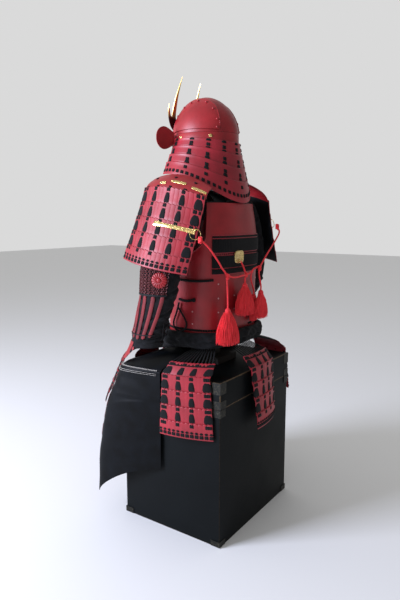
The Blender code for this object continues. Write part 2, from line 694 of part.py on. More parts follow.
def sleeve_point(station, turn, out, side=1):
    """A point on a sleeve: turn 0 looks away from the body, 90 degrees to the back."""
    table = np.array(SLEEVE)
    keys = np.arange(len(SLEEVE))
    centre = np.array([np.interp(station, keys, table[:, k]) for k in range(3)])
    ahead = np.array([np.interp(station + 0.3, keys, table[:, k]) for k in range(3)])
    behind = np.array([np.interp(station - 0.3, keys, table[:, k]) for k in range(3)])
    along = (ahead - behind) / np.linalg.norm(ahead - behind)
    outward = np.cross([0, 1, 0], along)
    outward = -outward if outward[0] < 0 else outward
    breadth = np.interp(station, keys, table[:, 3]) + out
    depth = np.interp(station, keys, table[:, 4]) + out
    for place, angle, deep, spread in SLEEVE_FOLDS:
        away = (math.degrees(turn) - angle + 180) % 360 - 180
        dip = deep * math.exp(-((station - place) / 0.30) ** 2 - (away / (60 * spread)) ** 2)
        breadth -= dip
        depth -= dip
    point = centre + outward * breadth * math.cos(turn) + np.array([0, 1, 0]) * depth * \
        math.sin(turn)
    return (side * point[0], point[1], point[2])


def sleeves():
    stations = np.linspace(0, len(SLEEVE) - 1, SLEEVE_ROWS)
    turns = np.linspace(0, 2 * math.pi, SLEEVE_COLUMNS, endpoint=False)
    for side, end in ((1, "left"), (-1, "right")):
        skins = [[[sleeve_point(s, t, out, side) for t in turns] for s in stations]
                 for out in (0.0, -CLOTH)]
        two_skins(f"sleeve_{end}", skins[0], skins[1], BLACK_CLOTH, ring=True)

    # A ribbed disc on the elbow, and a plate over the back of the hand.
    for side, end in ((1, "left"), (-1, "right")):
        centre = np.array(sleeve_point(4.35, math.radians(25), 0.0))
        normal = np.array(sleeve_point(4.35, math.radians(25), 0.01)) - centre
        normal = normal / np.linalg.norm(normal)
        level = np.cross([0, 0, 1], normal)
        level = level / np.linalg.norm(level)
        upright = np.cross(normal, level)
        radius, petals = 0.0245, 16
        points, faces = [], []
        rings = ((1.0, 0.0013), (1.0, 0.004), (0.55, 0.0085), (0.25, 0.0100))
        for share, lift in rings:
            for number in range(petals * 2):
                turn = math.pi * number / petals
                scallop = 1.0 if number % 2 else 0.94
                reach = radius * share * scallop
                spot = centre + (level * math.cos(turn) + upright * math.sin(turn)) * reach
                points.append(spot + normal * (lift + 0.0012 * (number % 2) * (share < 1)))
        for ring in range(len(rings) - 1):
            for number in range(petals * 2):
                after = (number + 1) % (petals * 2)
                low, high = ring * petals * 2, (ring + 1) * petals * 2
                faces.append([low + number, low + after, high + after, high + number])
        last = (len(rings) - 1) * petals * 2
        faces.append([last + number for number in range(petals * 2)])
        faces.append([number for number in reversed(range(petals * 2))])
        points = [(side * x, y, z) for x, y, z in points]
        add_mesh(f"elbow_disc_{end}", points, faces, RED_LACQUER)

        hand = []
        for down in np.linspace(0, 1, 5):
            line = []
            for across in np.linspace(-1, 1, 5):
                x, y, z = sleeve_point(7.88, math.radians(300 + 34 * across), 0.0020)
                half = 1 - 0.35 * down ** 2
                middle = sleeve_point(7.88, math.radians(300), 0.0012)
                line.append((side * (middle[0] + (x - middle[0]) * half),
                             middle[1] + (y - middle[1]) * half + 0.0014 - 0.034 * down ** 1.2,
                             z + 0.010 - 0.062 * down))
            hand.append(line)
        hand = np.array(hand)
        two_skins(f"hand_guard_{end}", hand, hand + (0, 0.0022, 0.0010), RED_LACQUER)


# The thigh guard: two wide aprons laid over the lid and hanging round its front corners.
APRON_ROWS = [               # z at the two ends, z at the corner, reach and shift of the fold
    (0.6080, 0.6080, 0.3050, 0.0814), (0.5830, 0.5830, 0.3050, 0.0814),
    (0.5560, 0.5560, 0.3050, 0.0814), (0.5480, 0.5470, 0.3050, 0.0814),
    (0.5150, 0.5100, 0.3180, 0.0790), (0.4700, 0.4500, 0.3410, 0.0760),
    (0.4400, 0.4050, 0.3570, 0.0730), (0.3600, 0.3050, 0.3770, 0.0710),
    (0.2800, 0.1900, 0.3895, 0.0700), (0.2100, 0.0730, 0.3935, 0.0688)]
APRON_OVER_LID = 3                   # rows before this one lie on the lid
APRON_FACING = math.radians(-55.3)   # the way the fold at the chest's corner looks
APRON_SIDE = (0.2465, -0.030)        # where an apron ends on the chest's side
APRON_FRONT = (0.0100, -0.2090)      # and on its front, near the middle
APRON_FOLD = 0.30
APRON_SPREAD = (0.0, 0.45, 0.93, 1.0)


def apron_point(row, share, out):
    """Row is a number along APRON_ROWS; share runs from the side (-1) to the front (1)."""
    end_z, corner_z, reach, shift = APRON_ROWS[row]
    facing = np.array([math.cos(APRON_FACING), math.sin(APRON_FACING)])
    fold = facing * reach + np.array([-facing[1], facing[0]]) * shift
    first, last = np.array(APRON_SIDE), np.array(APRON_FRONT)
    ease = math.sqrt(1 + APRON_FOLD ** 2) - 1

    def ramp(value):
        return (math.sqrt(value ** 2 + APRON_FOLD ** 2) + value - ease) / 2

    corner = (fold - ramp(0) * (first + last)) / (1 - 2 * ramp(0))
    flat = corner + (first - corner) * ramp(-share) + (last - corner) * ramp(share)
    z = end_z + (corner_z - end_z) * (1 - abs(share)) ** 1.6
    if row < APRON_OVER_LID:
        turn = math.radians(-5 - 80 * (share + 1) / 2)
        inner = np.array([0.150 * math.cos(turn), BODY_Y + 0.105 * math.sin(turn)])
        flat = inner + (flat - inner) * APRON_SPREAD[row]
        return (flat[0], flat[1], z + out)
    wave = 0.003 * (1 + math.sin(7.5 * share + 0.5)) * (row - 3) / 6 * (1 - abs(share)) ** 0.5
    centre = np.array([0.10, -0.08])
    away = (flat - centre) / np.linalg.norm(flat - centre)
    flat = flat + away * (out + wave)
    return (flat[0], flat[1], z + 0.4 * out * (row == APRON_OVER_LID))


def aprons():
    shares = np.linspace(-1, 1, 15)
    rows = range(len(APRON_ROWS))
    for side, end in ((1, "left"), (-1, "right")):
        skins = []
        for out in (CLOTH, 0.0):
            skin = [[apron_point(row, share, out) for share in shares] for row in rows]
            skins.append(np.array(skin) * (side, 1, 1))
        two_skins(f"thigh_guard_{end}", skins[0], skins[1], BLACK_CLOTH)


# On the back: a gilt plate with its ring, and red cords with tassels.
KNOT_PLATE = dict(turn=0.207, height=0.926, half_turn=0.150, half_height=0.0205)


def back_plate():
    plate = KNOT_PLATE
    turns = plate["turn"] + plate["half_turn"] * np.linspace(-1, 1, 6)
    heights = plate["height"] + plate["half_height"] * np.linspace(-1, 1, 3)
    skins = [[[torso_point(z, t, out) for t in turns] for z in heights]
             for out in (0.0072, 0.0053)]
    two_skins("knot_plate", skins[0], skins[1], GILT)


CORD = 0.006
RINGS = {"ring_left": (1, 0.50), "ring_right": (-1, 0.37)}     # side, how far down the guard
RING_REACH = 0.0165
CORDS = {                    # routes by hand, each from where it is tied
    "cord_left": [(0.2570, 0.1390, 0.9900), (0.236, 0.156, 0.964), (0.206, 0.166, 0.927),
                  (0.182, 0.169, 0.899), (0.163, 0.170, 0.883), (0.157, 0.170, 0.868),
                  (0.155, 0.171, 0.846), (0.155, 0.173, 0.810), (0.155, 0.174, 0.772)],
    "cord_middle": [(0.1538, 0.1700, 0.8758), (0.125, 0.171, 0.867), (0.095, 0.173, 0.865),
                    (0.066, 0.1735, 0.867), (0.034, 0.1728, 0.868), (0.008, 0.1735, 0.875),
                    (-0.012, 0.174, 0.884), (-0.030, 0.1750, 0.8878), (-0.0402, 0.1754, 0.8883)],
    "cord_centre": [(0.036, 0.1485, 0.9115), (0.034, 0.155, 0.900), (0.033, 0.1620, 0.884),
                    (0.034, 0.1672, 0.868), (0.036, 0.1673, 0.854), (0.037, 0.1675, 0.8404)],
    "cord_right": [(-0.2460, 0.1400, 1.0230), (-0.232, 0.156, 1.002), (-0.180, 0.168, 0.975),
                   (-0.112, 0.175, 0.936), (-0.058, 0.178, 0.898), (-0.040, 0.179, 0.882),
                   (-0.038, 0.179, 0.866), (-0.044, 0.179, 0.846), (-0.0525, 0.179, 0.824),
                   (-0.0530, 0.179, 0.8086)],
    "cord_rear": [(-0.021, 0.1686, 0.8850), (-0.018, 0.1600, 0.8640),
                  (-0.029, 0.1535, 0.8430), (-0.047, 0.1490, 0.8220),
                  (-0.0590, 0.1475, 0.8040), (-0.0600, 0.1475, 0.7911)],
}
TASSELS = {                  # x, y, height of the head's top, length, half spreads in x and y
    "tassel_left": (0.155, 0.174, 0.7716, 0.126, 0.046, 0.034),
    "tassel_centre": (0.037, 0.1675, 0.8400, 0.116, 0.044, 0.028),
    "tassel_right": (-0.053, 0.179, 0.8080, 0.106, 0.036, 0.021),
    "tassel_rear": (-0.060, 0.1475, 0.7904, 0.102, 0.024, 0.0095),
}
STRANDS = 18


def tassel(name, x, y, top, length, spread, depth):
    """A round head with three-sided strands fused into its underside."""
    head_height, head_half = 0.016, 0.0095
    shape = bmesh.new()
    bmesh.ops.create_cone(shape, cap_ends=True, segments=12, radius1=head_half,
                          radius2=head_half * 0.55, depth=head_height)
    for vertex in shape.verts:
        vertex.co.x += x
        vertex.co.y += y
        vertex.co.z += top - head_height / 2
    mesh = bpy.data.meshes.new(name)
    shape.to_mesh(mesh)
    shape.free()
    mesh.materials.append(RED_SILK)
    head = bpy.data.objects.new(name, mesh)
    ARMOUR.objects.link(head)

    points, faces = [], []
    golden = math.pi * (3 - math.sqrt(5))
    for number in range(STRANDS):
        share = math.sqrt((number + 0.5) / STRANDS)
        turn = number * golden
        root = np.array([x + 0.80 * head_half * share * math.cos(turn),
                         y + 0.80 * head_half * share * math.sin(turn),
                         top - head_height + 0.003])
        drop = length * (1 - 0.06 * share)
        tip = np.array([x + spread * share * math.cos(turn),
                        y + depth * share * math.sin(turn), top - drop])
        first = len(points)
        for level, thick in ((0.0, 0.0010), (0.35, 0.0019), (1.0, 0.0016)):
            middle = root + (tip - root) * level
            swell = 1 - (1 - level) ** 2
            middle[:2] = root[:2] + (tip[:2] - root[:2]) * swell
            for corner in range(3):
                angle = turn + 2 * math.pi * corner / 3
                points.append(middle + thick * np.array([math.cos(angle), math.sin(angle), 0]))
        faces.append([first + 2, first + 1, first])
        for level in (0, 3):
            for corner in range(3):
                after = (corner + 1) % 3
                faces.append([first + level + corner, first + level + after,
                              first + level + 3 + after, first + level + 3 + corner])
        faces.append([first + 6, first + 7, first + 8])
    strands = bpy.data.meshes.new(name + "_strands")
    strands.from_pydata([tuple(p) for p in points], [], faces)
    shape = bmesh.new()
    shape.from_mesh(strands)
    bmesh.ops.recalc_face_normals(shape, faces=shape.faces[:])
    shape.to_mesh(strands)
    shape.free()
    cutter = bpy.data.objects.new(name + "_strands", strands)
    cutter.hide_render = True
    cutter.display_type = "WIRE"
    CUTTERS.objects.link(cutter)
    join = head.modifiers.new("fuse", "BOOLEAN")
    join.operation = "UNION"
    join.object = cutter


def ring(name, side, down):
    """A ring lying on the outside of a shoulder guard, over the middle of its rear edge."""
    place = guard_place(side)
    centre, rearward, lower = (np.array(place(*spot)) for spot in (
        (down, 0.97, LAME + STEP), (down, 0.99, LAME + STEP), (down + 0.02, 0.97, LAME + STEP)))
    normal = np.cross(rearward - centre, lower - centre)
    normal *= math.copysign(1.0, normal[0] * side) / np.linalg.norm(normal)
    thick = 0.0011
    bpy.ops.mesh.primitive_torus_add(major_segments=20, minor_segments=6,
                                     major_radius=RING_REACH, minor_radius=thick)
    made = bpy.context.object
    made.name = made.data.name = name
    made.location = centre + normal * (thick + GAP)
    made.rotation_euler = Vector(normal).to_track_quat("Z", "Y").to_euler()
    made.data.materials.append(GILT)
    for holder in list(made.users_collection):
        holder.objects.unlink(made)
    ARMOUR.objects.link(made)


def back_knot():
    back_plate()
    for name, route in CORDS.items():
        tube(name, route, CORD, RED_SILK, 0.014)
    for name, sizes in TASSELS.items():
        tassel(name, *sizes)
    for name, (side, down) in RINGS.items():
        ring(name, side, down)


chest()
stand()
helmet()
crest()
neck_guard()
ear_plates()
cuirass()
back_band()
straps()
belt()
tassets()
shoulder_guards()
sleeves()
aprons()
back_knot()
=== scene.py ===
"""The looks of a samurai armour set up on its armour chest, seen from behind its left
shoulder: red lacquered lames laced in black, black cloth and lacquer, gilt fittings and red
silk cords. Metres, +Z up. The armour faces -Y, and its left is +X."""

import math

import bpy
import numpy as np
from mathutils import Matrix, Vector


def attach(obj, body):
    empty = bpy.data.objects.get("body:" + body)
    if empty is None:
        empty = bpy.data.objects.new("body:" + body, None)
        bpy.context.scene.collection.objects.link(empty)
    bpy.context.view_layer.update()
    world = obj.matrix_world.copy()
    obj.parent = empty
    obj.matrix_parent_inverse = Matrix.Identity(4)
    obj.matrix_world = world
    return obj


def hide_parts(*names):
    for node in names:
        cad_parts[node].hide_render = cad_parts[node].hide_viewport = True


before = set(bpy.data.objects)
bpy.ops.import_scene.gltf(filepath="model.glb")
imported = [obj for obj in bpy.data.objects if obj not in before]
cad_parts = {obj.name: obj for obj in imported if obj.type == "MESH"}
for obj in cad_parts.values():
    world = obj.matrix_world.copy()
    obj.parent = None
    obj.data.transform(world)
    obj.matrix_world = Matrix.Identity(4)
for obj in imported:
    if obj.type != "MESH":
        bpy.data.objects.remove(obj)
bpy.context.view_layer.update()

# Camera: it stands behind the armour's left shoulder, a little above the cuirass, and looks
# down on the whole set.
camera = bpy.data.objects.new("camera", bpy.data.cameras.new("camera"))
camera.data.sensor_width = 36.0
camera.data.lens = 32.1
camera.data.clip_end = 40.0
camera.location = (1.576, 1.050, 1.052)
view_turn, view_dip = math.radians(124.673), math.radians(8.671)
behind_camera = Vector((math.sin(view_turn) * math.cos(view_dip),
                        -math.cos(view_turn) * math.cos(view_dip), math.sin(view_dip)))
camera.rotation_euler = behind_camera.to_track_quat("Z", "Y").to_euler()
bpy.context.scene.collection.objects.link(camera)
bpy.context.scene.camera = camera
bpy.context.scene.view_settings.view_transform = "Standard"


# Finishes: every one is procedural, in the part's own coordinates. These functions make a
# material, the values that vary over it, and what they feed.
def linear(code):
    """An sRGB hex colour such as "c8566a" as linear red, green and blue, and an alpha of 1."""
    parts = [int(code[i:i + 2], 16) / 255 for i in (0, 2, 4)]
    return (*(p / 12.92 if p <= 0.04045 else ((p + 0.055) / 1.055) ** 2.4 for p in parts), 1.0)


def add_node(tree, kind, settings=(), **links):
    """Adds a shader node. settings are its properties and socket values by name or
    number; links are sockets to feed, with spaces as underscores, or _ and a number."""
    made = tree.nodes.new(kind)
    for name, value in dict(settings).items():
        if isinstance(name, int) or name in made.inputs:
            made.inputs[name].default_value = value
        else:
            setattr(made, name, value)
    for name, source in links.items():
        wanted = name.replace("_", " ")
        socket = made.inputs[int(wanted[1:])] if wanted[1:].isdigit() else made.inputs[wanted]
        tree.links.new(source, socket)
    return made


def principled(name, **values):
    """A material with its Principled shader's sockets set, and its tree and shader."""
    made = bpy.data.materials.new(name)
    made.use_nodes = True
    shader = made.node_tree.nodes["Principled BSDF"]
    for socket, value in values.items():
        shader.inputs[socket.replace("_", " ")].default_value = value
    return made, made.node_tree, shader


def place_in(tree):
    """The place of each point in the part's own coordinates."""
    return add_node(tree, "ShaderNodeTexCoord").outputs["Object"]


def noise(tree, scale, detail):
    """A soft random value at each point, from 0 to 1."""
    return add_node(tree, "ShaderNodeTexNoise", {"Scale": scale, "Detail": detail},
                    Vector=place_in(tree)).outputs["Fac"]


def cells(tree, scale):
    """How far each point is from the edges of small irregular cells."""
    return add_node(tree, "ShaderNodeTexVoronoi", {
        "Scale": scale, "feature": "DISTANCE_TO_EDGE"}, Vector=place_in(tree)).outputs["Distance"]


def maths(tree, operation, *values):
    """One sum on one or two sockets' values."""
    return add_node(tree, "ShaderNodeMath", {"operation": operation},
                    **{f"_{k}": value for k, value in enumerate(values)}).outputs[0]


def map_range(tree, value, low, high, to_low=0.0, to_high=1.0):
    """A socket's value, moved from one range to another and kept inside it."""
    return add_node(tree, "ShaderNodeMapRange", {
        "From Min": low, "From Max": high, "To Min": to_low, "To Max": to_high},
        Value=value).outputs[0]


def ramp(tree, value, low_colour, high_colour, low=0.0, high=1.0):
    """A colour that goes from one to the other between two values of a socket."""
    made = add_node(tree, "ShaderNodeValToRGB", Fac=value)
    for stop, colour, at in zip(made.color_ramp.elements, (low_colour, high_colour),
                                (low, high)):
        stop.color, stop.position = colour, at
    return made.outputs["Color"]


def shade(tree, shader, *ramp_settings):
    """Feeds the base colour from a ramp."""
    tree.links.new(ramp(tree, *ramp_settings), shader.inputs["Base Color"])


def emboss(tree, shader, height, strength, distance):
    """Raises the surface by a socket's value, on top of what already raises it."""
    made = add_node(tree, "ShaderNodeBump", {"Strength": strength, "Distance": distance},
                    Height=height)
    for link in shader.inputs["Normal"].links:
        tree.links.new(link.from_socket, made.inputs["Normal"])
    tree.links.new(made.outputs["Normal"], shader.inputs["Normal"])


# Room: a pale floor and a pale surround that is darker behind the armour, with one soft window
# light from the armour's left front.
surround = bpy.data.worlds.new("pale_surround")
surround.use_nodes = True
background = surround.node_tree.nodes["Background"]
background.inputs["Color"].default_value = linear("dadada")
ahead = add_node(surround.node_tree, "ShaderNodeVectorMath", {
    "operation": "DOT_PRODUCT", 1: (0.2, -1.0, 0.0)},
    _0=add_node(surround.node_tree, "ShaderNodeTexCoord").outputs["Generated"])
surround.node_tree.links.new(
    map_range(surround.node_tree, ahead.outputs["Value"], -0.7, 0.0, 0.42, 1.0),
    background.inputs["Strength"])
bpy.context.scene.world = surround

FLOOR_HALF = 14.0
corner = FLOOR_HALF * np.array([(-1, -1), (1, -1), (1, 1), (-1, 1)])
floor_mesh = bpy.data.meshes.new("floor")
floor_mesh.from_pydata([(x, y, -0.0004) for x, y in corner], [], [(0, 1, 2, 3)])
floor = bpy.data.objects.new("floor", floor_mesh)
bpy.context.scene.collection.objects.link(floor)
matt_paint, _, _ = principled("matt_paint", Base_Color=linear("e2e2e2"), Roughness=1.0)
floor.data.materials.append(matt_paint)

window = bpy.data.objects.new("window_light", bpy.data.lights.new("window_light", "AREA"))
window.data.size = 1.4
window.data.energy = 230.0
window.data.color = linear("e2e8ff")[:3]
window.location = (2.9, -1.9, 1.9)
window.rotation_euler = (window.location - Vector((0, 0, 0.9))).to_track_quat("Z", "Y").to_euler()
bpy.context.scene.collection.objects.link(window)


# Shapes: every piece is lofted from rings of points that numpy lays out. Most lie on a place
# function, which turns a level, a share or turn, and a height over the surface into a point.
SIDES = ((1, "left"), (-1, "right"))


def xyz(*parts):
    """Coordinates, each a number or an array, joined into one array of points."""
    return np.stack(np.broadcast_arrays(*parts), axis=-1)


def circle(points):
    """Even angles once round, from 0."""
    return np.linspace(0, 2 * np.pi, points, endpoint=False)


def unit(vectors):
    """The same directions with a length of 1."""
    return vectors / np.linalg.norm(vectors, axis=-1)[..., None]


def blend(first, last, part):
    """A value part of the way from the first to the last."""
    return first + (last - first) * part


def run_length(path):
    """The distance along a path, at each of its points."""
    return np.concatenate([[0], np.cumsum(np.linalg.norm(np.diff(path, axis=0), axis=1))])


def loft(name, rings, finish, node=None, join=False, smooth=45.0):
    """Closed bodies from rings of points, of shape (bodies, rings, points, 3), in a finish's
    slot and, with node, in place of that CAD node. Each ring joins the next with quads. The
    end rings are capped or, with join, joined to each other."""
    rings = np.asarray(rings, dtype=np.float64)
    rings = rings[None] if rings.ndim == 3 else rings
    bodies, rows, columns = rings.shape[:3]
    index = np.arange(bodies * rows * columns).reshape(bodies, rows, columns)
    first = index if join else index[:, :-1]
    after = np.roll(index, -1, axis=1) if join else index[:, 1:]
    quads = xyz(first, np.roll(first, -1, axis=2), np.roll(after, -1, axis=2), after).reshape(-1, 4)
    ends = [] if join else [index[:, 0, ::-1], index[:, -1]]
    # The corners turn the other way where a body would be inside out.
    body_quads = quads[:len(quads) // bodies]
    corners = rings.reshape(-1, 3)[body_quads] - rings.reshape(-1, 3).mean(axis=0)
    volume = (np.cross(corners[:, 1], corners[:, 2]) * corners[:, 0]).sum() + (
        np.cross(corners[:, 2], corners[:, 3]) * corners[:, 0]).sum()
    for end in ends:
        loop = rings.reshape(-1, 3)[end[0]] - rings.reshape(-1, 3).mean(axis=0)
        volume += (np.cross(loop[1:-1], loop[2:]) * loop[0]).sum()
    if volume < 0:
        quads, ends = quads[:, ::-1], [end[:, ::-1] for end in ends]
    sizes = np.concatenate([np.full(len(quads), 4)] + [np.full(len(e), columns) for e in ends])
    order = np.concatenate([quads.ravel()] + [e.ravel() for e in ends])
    mesh = bpy.data.meshes.new(name)
    mesh.vertices.add(rings.size // 3)
    mesh.vertices.foreach_set("co", rings.ravel())
    mesh.loops.add(len(order))
    mesh.loops.foreach_set("vertex_index", order)
    mesh.polygons.add(len(sizes))
    mesh.polygons.foreach_set("loop_start", np.cumsum(sizes) - sizes)
    mesh.update(calc_edges=True)
    mesh.shade_smooth()
    mesh.set_sharp_from_angle(angle=math.radians(smooth))
    mesh.materials.append(finish)
    made = bpy.data.objects.new(name, mesh)
    bpy.context.scene.collection.objects.link(made)
    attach(made, "root")
    if node:
        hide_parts(node)
    return made


def smooth_route(route, spacing):
    """Evenly spaced points on a Catmull-Rom curve through the route's points."""
    given = np.array(route, float)
    ends = np.concatenate([[2 * given[0] - given[1]], given, [2 * given[-1] - given[-2]]])
    t = np.linspace(0, 1, 24, endpoint=False)[:, None]
    spans = [0.5 * (2 * b + (c - a) * t + (2 * a - 5 * b + 4 * c - d) * t ** 2
                    + (3 * b - a - 3 * c + d) * t ** 3)
             for a, b, c, d in zip(ends, ends[1:], ends[2:], ends[3:])]
    dense = np.concatenate([*spans, given[-1:]])
    along = run_length(dense)
    stations = np.linspace(0, along[-1], max(4, round(along[-1] / spacing)))
    return np.stack([np.interp(stations, along, dense[:, k]) for k in range(3)], axis=1)


def tube_rings(path, reach):
    """Rings round a path. reach gives the radius for (distance along, angle) arrays."""
    step = unit(np.gradient(path, axis=0))
    side = np.cross(step, (0.0, 0.0, 1.0)) + (1e-6, 0, 0)
    fixed = np.abs(step[:, 2]) > 0.97
    side[fixed] = np.cross(step[fixed], (0.0, 1.0, 0.0))
    for row in range(1, len(side)):
        if side[row] @ side[row - 1] < 0:
            side[row] *= -1
    side = unit(side)
    other = np.cross(step, side)
    angle = circle(14)
    radius = reach(run_length(path)[:, None], angle[None])
    return path[:, None] + radius[..., None] * (
        np.cos(angle)[None, :, None] * side[:, None] + np.sin(angle)[None, :, None]
        * other[:, None])


# Red silk cords: two twisted strands each, tied to the shoulder guards' rings and to the gilt
# plate, and hung with tassels. Each is a tube whose section is two lobes that turn along it.
CORD = 0.006
CORD_TWIST = 0.011           # length in which the two strands go once round each other
CORD_STEP = 0.0012           # from one ring of a cord to the next
CORDS = {                    # what the far end meets, and the route from where it is tied
    "cord_left": ("knot", [
        (0.2570, 0.1390, 0.9900), (0.236, 0.156, 0.964), (0.206, 0.166, 0.927),
        (0.182, 0.169, 0.899), (0.163, 0.170, 0.883), (0.157, 0.170, 0.868),
        (0.155, 0.171, 0.846), (0.155, 0.173, 0.810), (0.155, 0.174, 0.772),
        (0.155, 0.174, 0.762)]),
    "cord_middle": ("object", [
        (0.1538, 0.1700, 0.8758), (0.125, 0.171, 0.867), (0.095, 0.173, 0.865),
        (0.066, 0.1735, 0.867), (0.034, 0.1728, 0.868), (0.008, 0.1735, 0.875),
        (-0.012, 0.174, 0.884), (-0.030, 0.1750, 0.8878), (-0.0402, 0.1754, 0.8883)]),
    "cord_centre": ("knot", [
        (0.036, 0.1485, 0.9115), (0.034, 0.155, 0.900), (0.033, 0.1620, 0.884),
        (0.034, 0.1672, 0.868), (0.036, 0.1673, 0.854), (0.037, 0.1675, 0.8404),
        (0.037, 0.1675, 0.8310)]),
    "cord_right": ("knot", [
        (-0.2460, 0.1400, 1.0230), (-0.232, 0.156, 1.002), (-0.180, 0.168, 0.975),
        (-0.112, 0.175, 0.936), (-0.058, 0.178, 0.898), (-0.040, 0.179, 0.882),
        (-0.038, 0.179, 0.866), (-0.044, 0.179, 0.846), (-0.0525, 0.179, 0.824),
        (-0.0530, 0.179, 0.8086), (-0.0530, 0.179, 0.7990)]),
    "cord_rear": ("knot", [
        (-0.021, 0.1686, 0.8850), (-0.018, 0.1600, 0.8640), (-0.029, 0.1535, 0.8430),
        (-0.047, 0.1490, 0.8220), (-0.0590, 0.1475, 0.8040), (-0.0600, 0.1475, 0.7911),
        (-0.0600, 0.1475, 0.7810)]),
}
TASSELS = {                  # cord, x, y, height of the head's top, length, half spreads in x, y
    "tassel_left": ("cord_left", 0.155, 0.174, 0.7716, 0.126, 0.046, 0.034),
    "tassel_centre": ("cord_centre", 0.037, 0.1675, 0.8400, 0.116, 0.044, 0.028),
    "tassel_right": ("cord_right", -0.053, 0.179, 0.8080, 0.106, 0.036, 0.021),
    "tassel_rear": ("cord_rear", -0.060, 0.1475, 0.7904, 0.102, 0.024, 0.0095),
}
STRANDS = 420                # in each tassel
STRANDS_UNDER = 0.014        # how far below the top of the head the strands start

# Degummed silk: soft sheen, bright red, with fine threads that shade it lighter and darker.
red_silk, tree, shader = principled("red_silk", Roughness=0.60, Sheen_Weight=0.12,
                                    Sheen_Roughness=0.4, IOR=1.5)
shade(tree, shader, noise(tree, 900.0, 2.0), linear("cc0c1c"), linear("ff343e"), 0.3, 0.7)


def twist(along, angle):
    """Two lobes that go round once in CORD_TWIST of length."""
    lobes = np.abs(np.cos(angle - np.pi * 2 * along / CORD_TWIST))
    return CORD / 2 * (0.72 + 0.28 * lobes ** 0.7)


cord_paths = {name: smooth_route(route, CORD_STEP) for name, (_, route) in CORDS.items()}
cord_objects = {name: loft(name + "_twisted", tube_rings(path, twist), red_silk, name)
                for name, path in cord_paths.items()}


def declare_cord(name, **tied):
    """Works out a cord's first point and its length along its path, and keeps neither. What is tied
    on is not used.
    """
    path = cord_paths[name]
    tuple(path[0])
    float(np.linalg.norm(np.diff(path, axis=0), axis=1).sum())


def tassel_rings(x, y, top, length, spread, depth, strands, seed):
    """Fine strands from within a head, each a bent thread, thicker in its middle; they end
    unevenly, the outer ones higher."""
    number = np.arange(strands)
    share = np.sqrt((number + 0.5) / strands)
    turn = number * np.pi * (3 - math.sqrt(5))
    noise = np.random.default_rng(seed)
    drop = length * (0.85 + 0.14 * noise.random(strands)) * (1 - 0.08 * share)
    down = np.linspace(0, 1, 9)
    swell = 0.26 + 0.74 * (1 - (1 - down[None]) ** 2.2)
    sway = noise.normal(0, 0.0024, (strands, 1)) * down[None] ** 0.5 * np.sin(
        down[None] * 9 + 3 * turn[:, None])
    middle = xyz(x + (spread * share * np.cos(turn))[:, None] * swell + sway,
                 y + (depth * share * np.sin(turn))[:, None] * swell + sway[:, ::-1],
                 top - STRANDS_UNDER - (drop - STRANDS_UNDER)[:, None] * down[None])
    angle = circle(4)
    thick = 0.00095 * (0.8 + 0.35 * np.sin(np.pi * down))[None, :, None]
    ring = xyz(np.cos(angle), np.sin(angle), 0)
    return middle[:, :, None] + thick[..., None] * ring[None, None]


def head_rings(x, y, top):
    """A wound head over the strands: a collar, a bead and a band of thread."""
    table = np.array([(0.0, 0.0032), (0.0006, 0.0046), (0.0040, 0.0072), (0.0075, 0.0088),
                      (0.0105, 0.0090), (0.0118, 0.0078), (0.0130, 0.0092), (0.0150, 0.0098),
                      (0.0170, 0.0098), (0.0190, 0.0090), (0.0196, 0.0080)])
    angle = circle(24)
    lobed = 1 + 0.05 * np.cos(12 * angle)[None] * (table[:, :1] > 0.003)
    radius = table[:, 1:] * lobed
    return xyz(x + radius * np.cos(angle), y + radius * np.sin(angle), top - table[:, :1])


for seed, (name, (cord, x, y, top, length, spread, depth)) in enumerate(TASSELS.items()):
    strands = loft(name + "_strands", tassel_rings(x, y, top, length, spread, depth, STRANDS, seed),
                   red_silk)
    head = loft(name + "_head", head_rings(x, y, top), red_silk, name)
    declare_cord(cord, with_pieces=[head, strands])
declare_cord("cord_middle")


def knot_rings(centre, turns, reach, flat, seed):
    """A tied knot drawn as one cord wound in a small uneven ball; path of a tilted spiral."""
    t = np.linspace(0, 1, 16 * turns)
    noise = np.random.default_rng(seed).normal(0, 1, 3)
    path = np.array(centre) + xyz(
        reach * np.cos(2 * np.pi * turns * t) * (0.75 + 0.25 * np.sin(9 * t + noise[0])),
        flat * np.sin(2 * np.pi * turns * t + 0.6),
        1.35 * reach * (2 * t - 1) + 0.25 * reach * np.sin(2 * np.pi * turns * t + noise[1]))
    return tube_rings(path, twist)


knots = [knot_rings((0.157, 0.1735, 0.8720), 4, 0.0058, 0.0052, 1),
         knot_rings((-0.039, 0.1805, 0.8850), 4, 0.0056, 0.0050, 2),
         knot_rings((0.034, 0.1700, 0.8690), 3, 0.0045, 0.0040, 3),
         knot_rings((0.2575, 0.1390, 0.9880), 4, 0.0068, 0.0060, 4),
         knot_rings((-0.2465, 0.1400, 1.0210), 4, 0.0068, 0.0060, 5)]
for number, rings in enumerate(knots):
    loft(f"cord_knot_{number + 1}", rings, red_silk)


# Armour chest: a wooden box with a lift-off lid, lacquered black, its edges rubbed down to the
# brown ground. The lid hangs a little outside the body. Small corner plates of dulled brass.
CHEST_HALF = (0.238, 0.2005)
CHEST_TOP = 0.550
LID_FOOT = 0.464
LID_INSIDE = 0.540


def square_ring(half_x, half_y, radius, z):
    """A rectangle with round corners at height z, six points to a corner."""
    angle = (np.arange(4)[:, None] * np.pi / 2 + np.linspace(0, np.pi / 2, 6)[None]).ravel()
    corner_x = np.repeat([1, -1, -1, 1], 6) * (half_x - radius)
    corner_y = np.repeat([1, 1, -1, -1], 6) * (half_y - radius)
    return xyz(corner_x + radius * np.cos(angle), corner_y + radius * np.sin(angle), z)


def chest_rings(profile):
    """Rings for (inset, height) pairs from the chest's outside."""
    return np.stack([square_ring(CHEST_HALF[0] - inset, CHEST_HALF[1] - inset, 0.004, z)
                     for inset, z in profile])


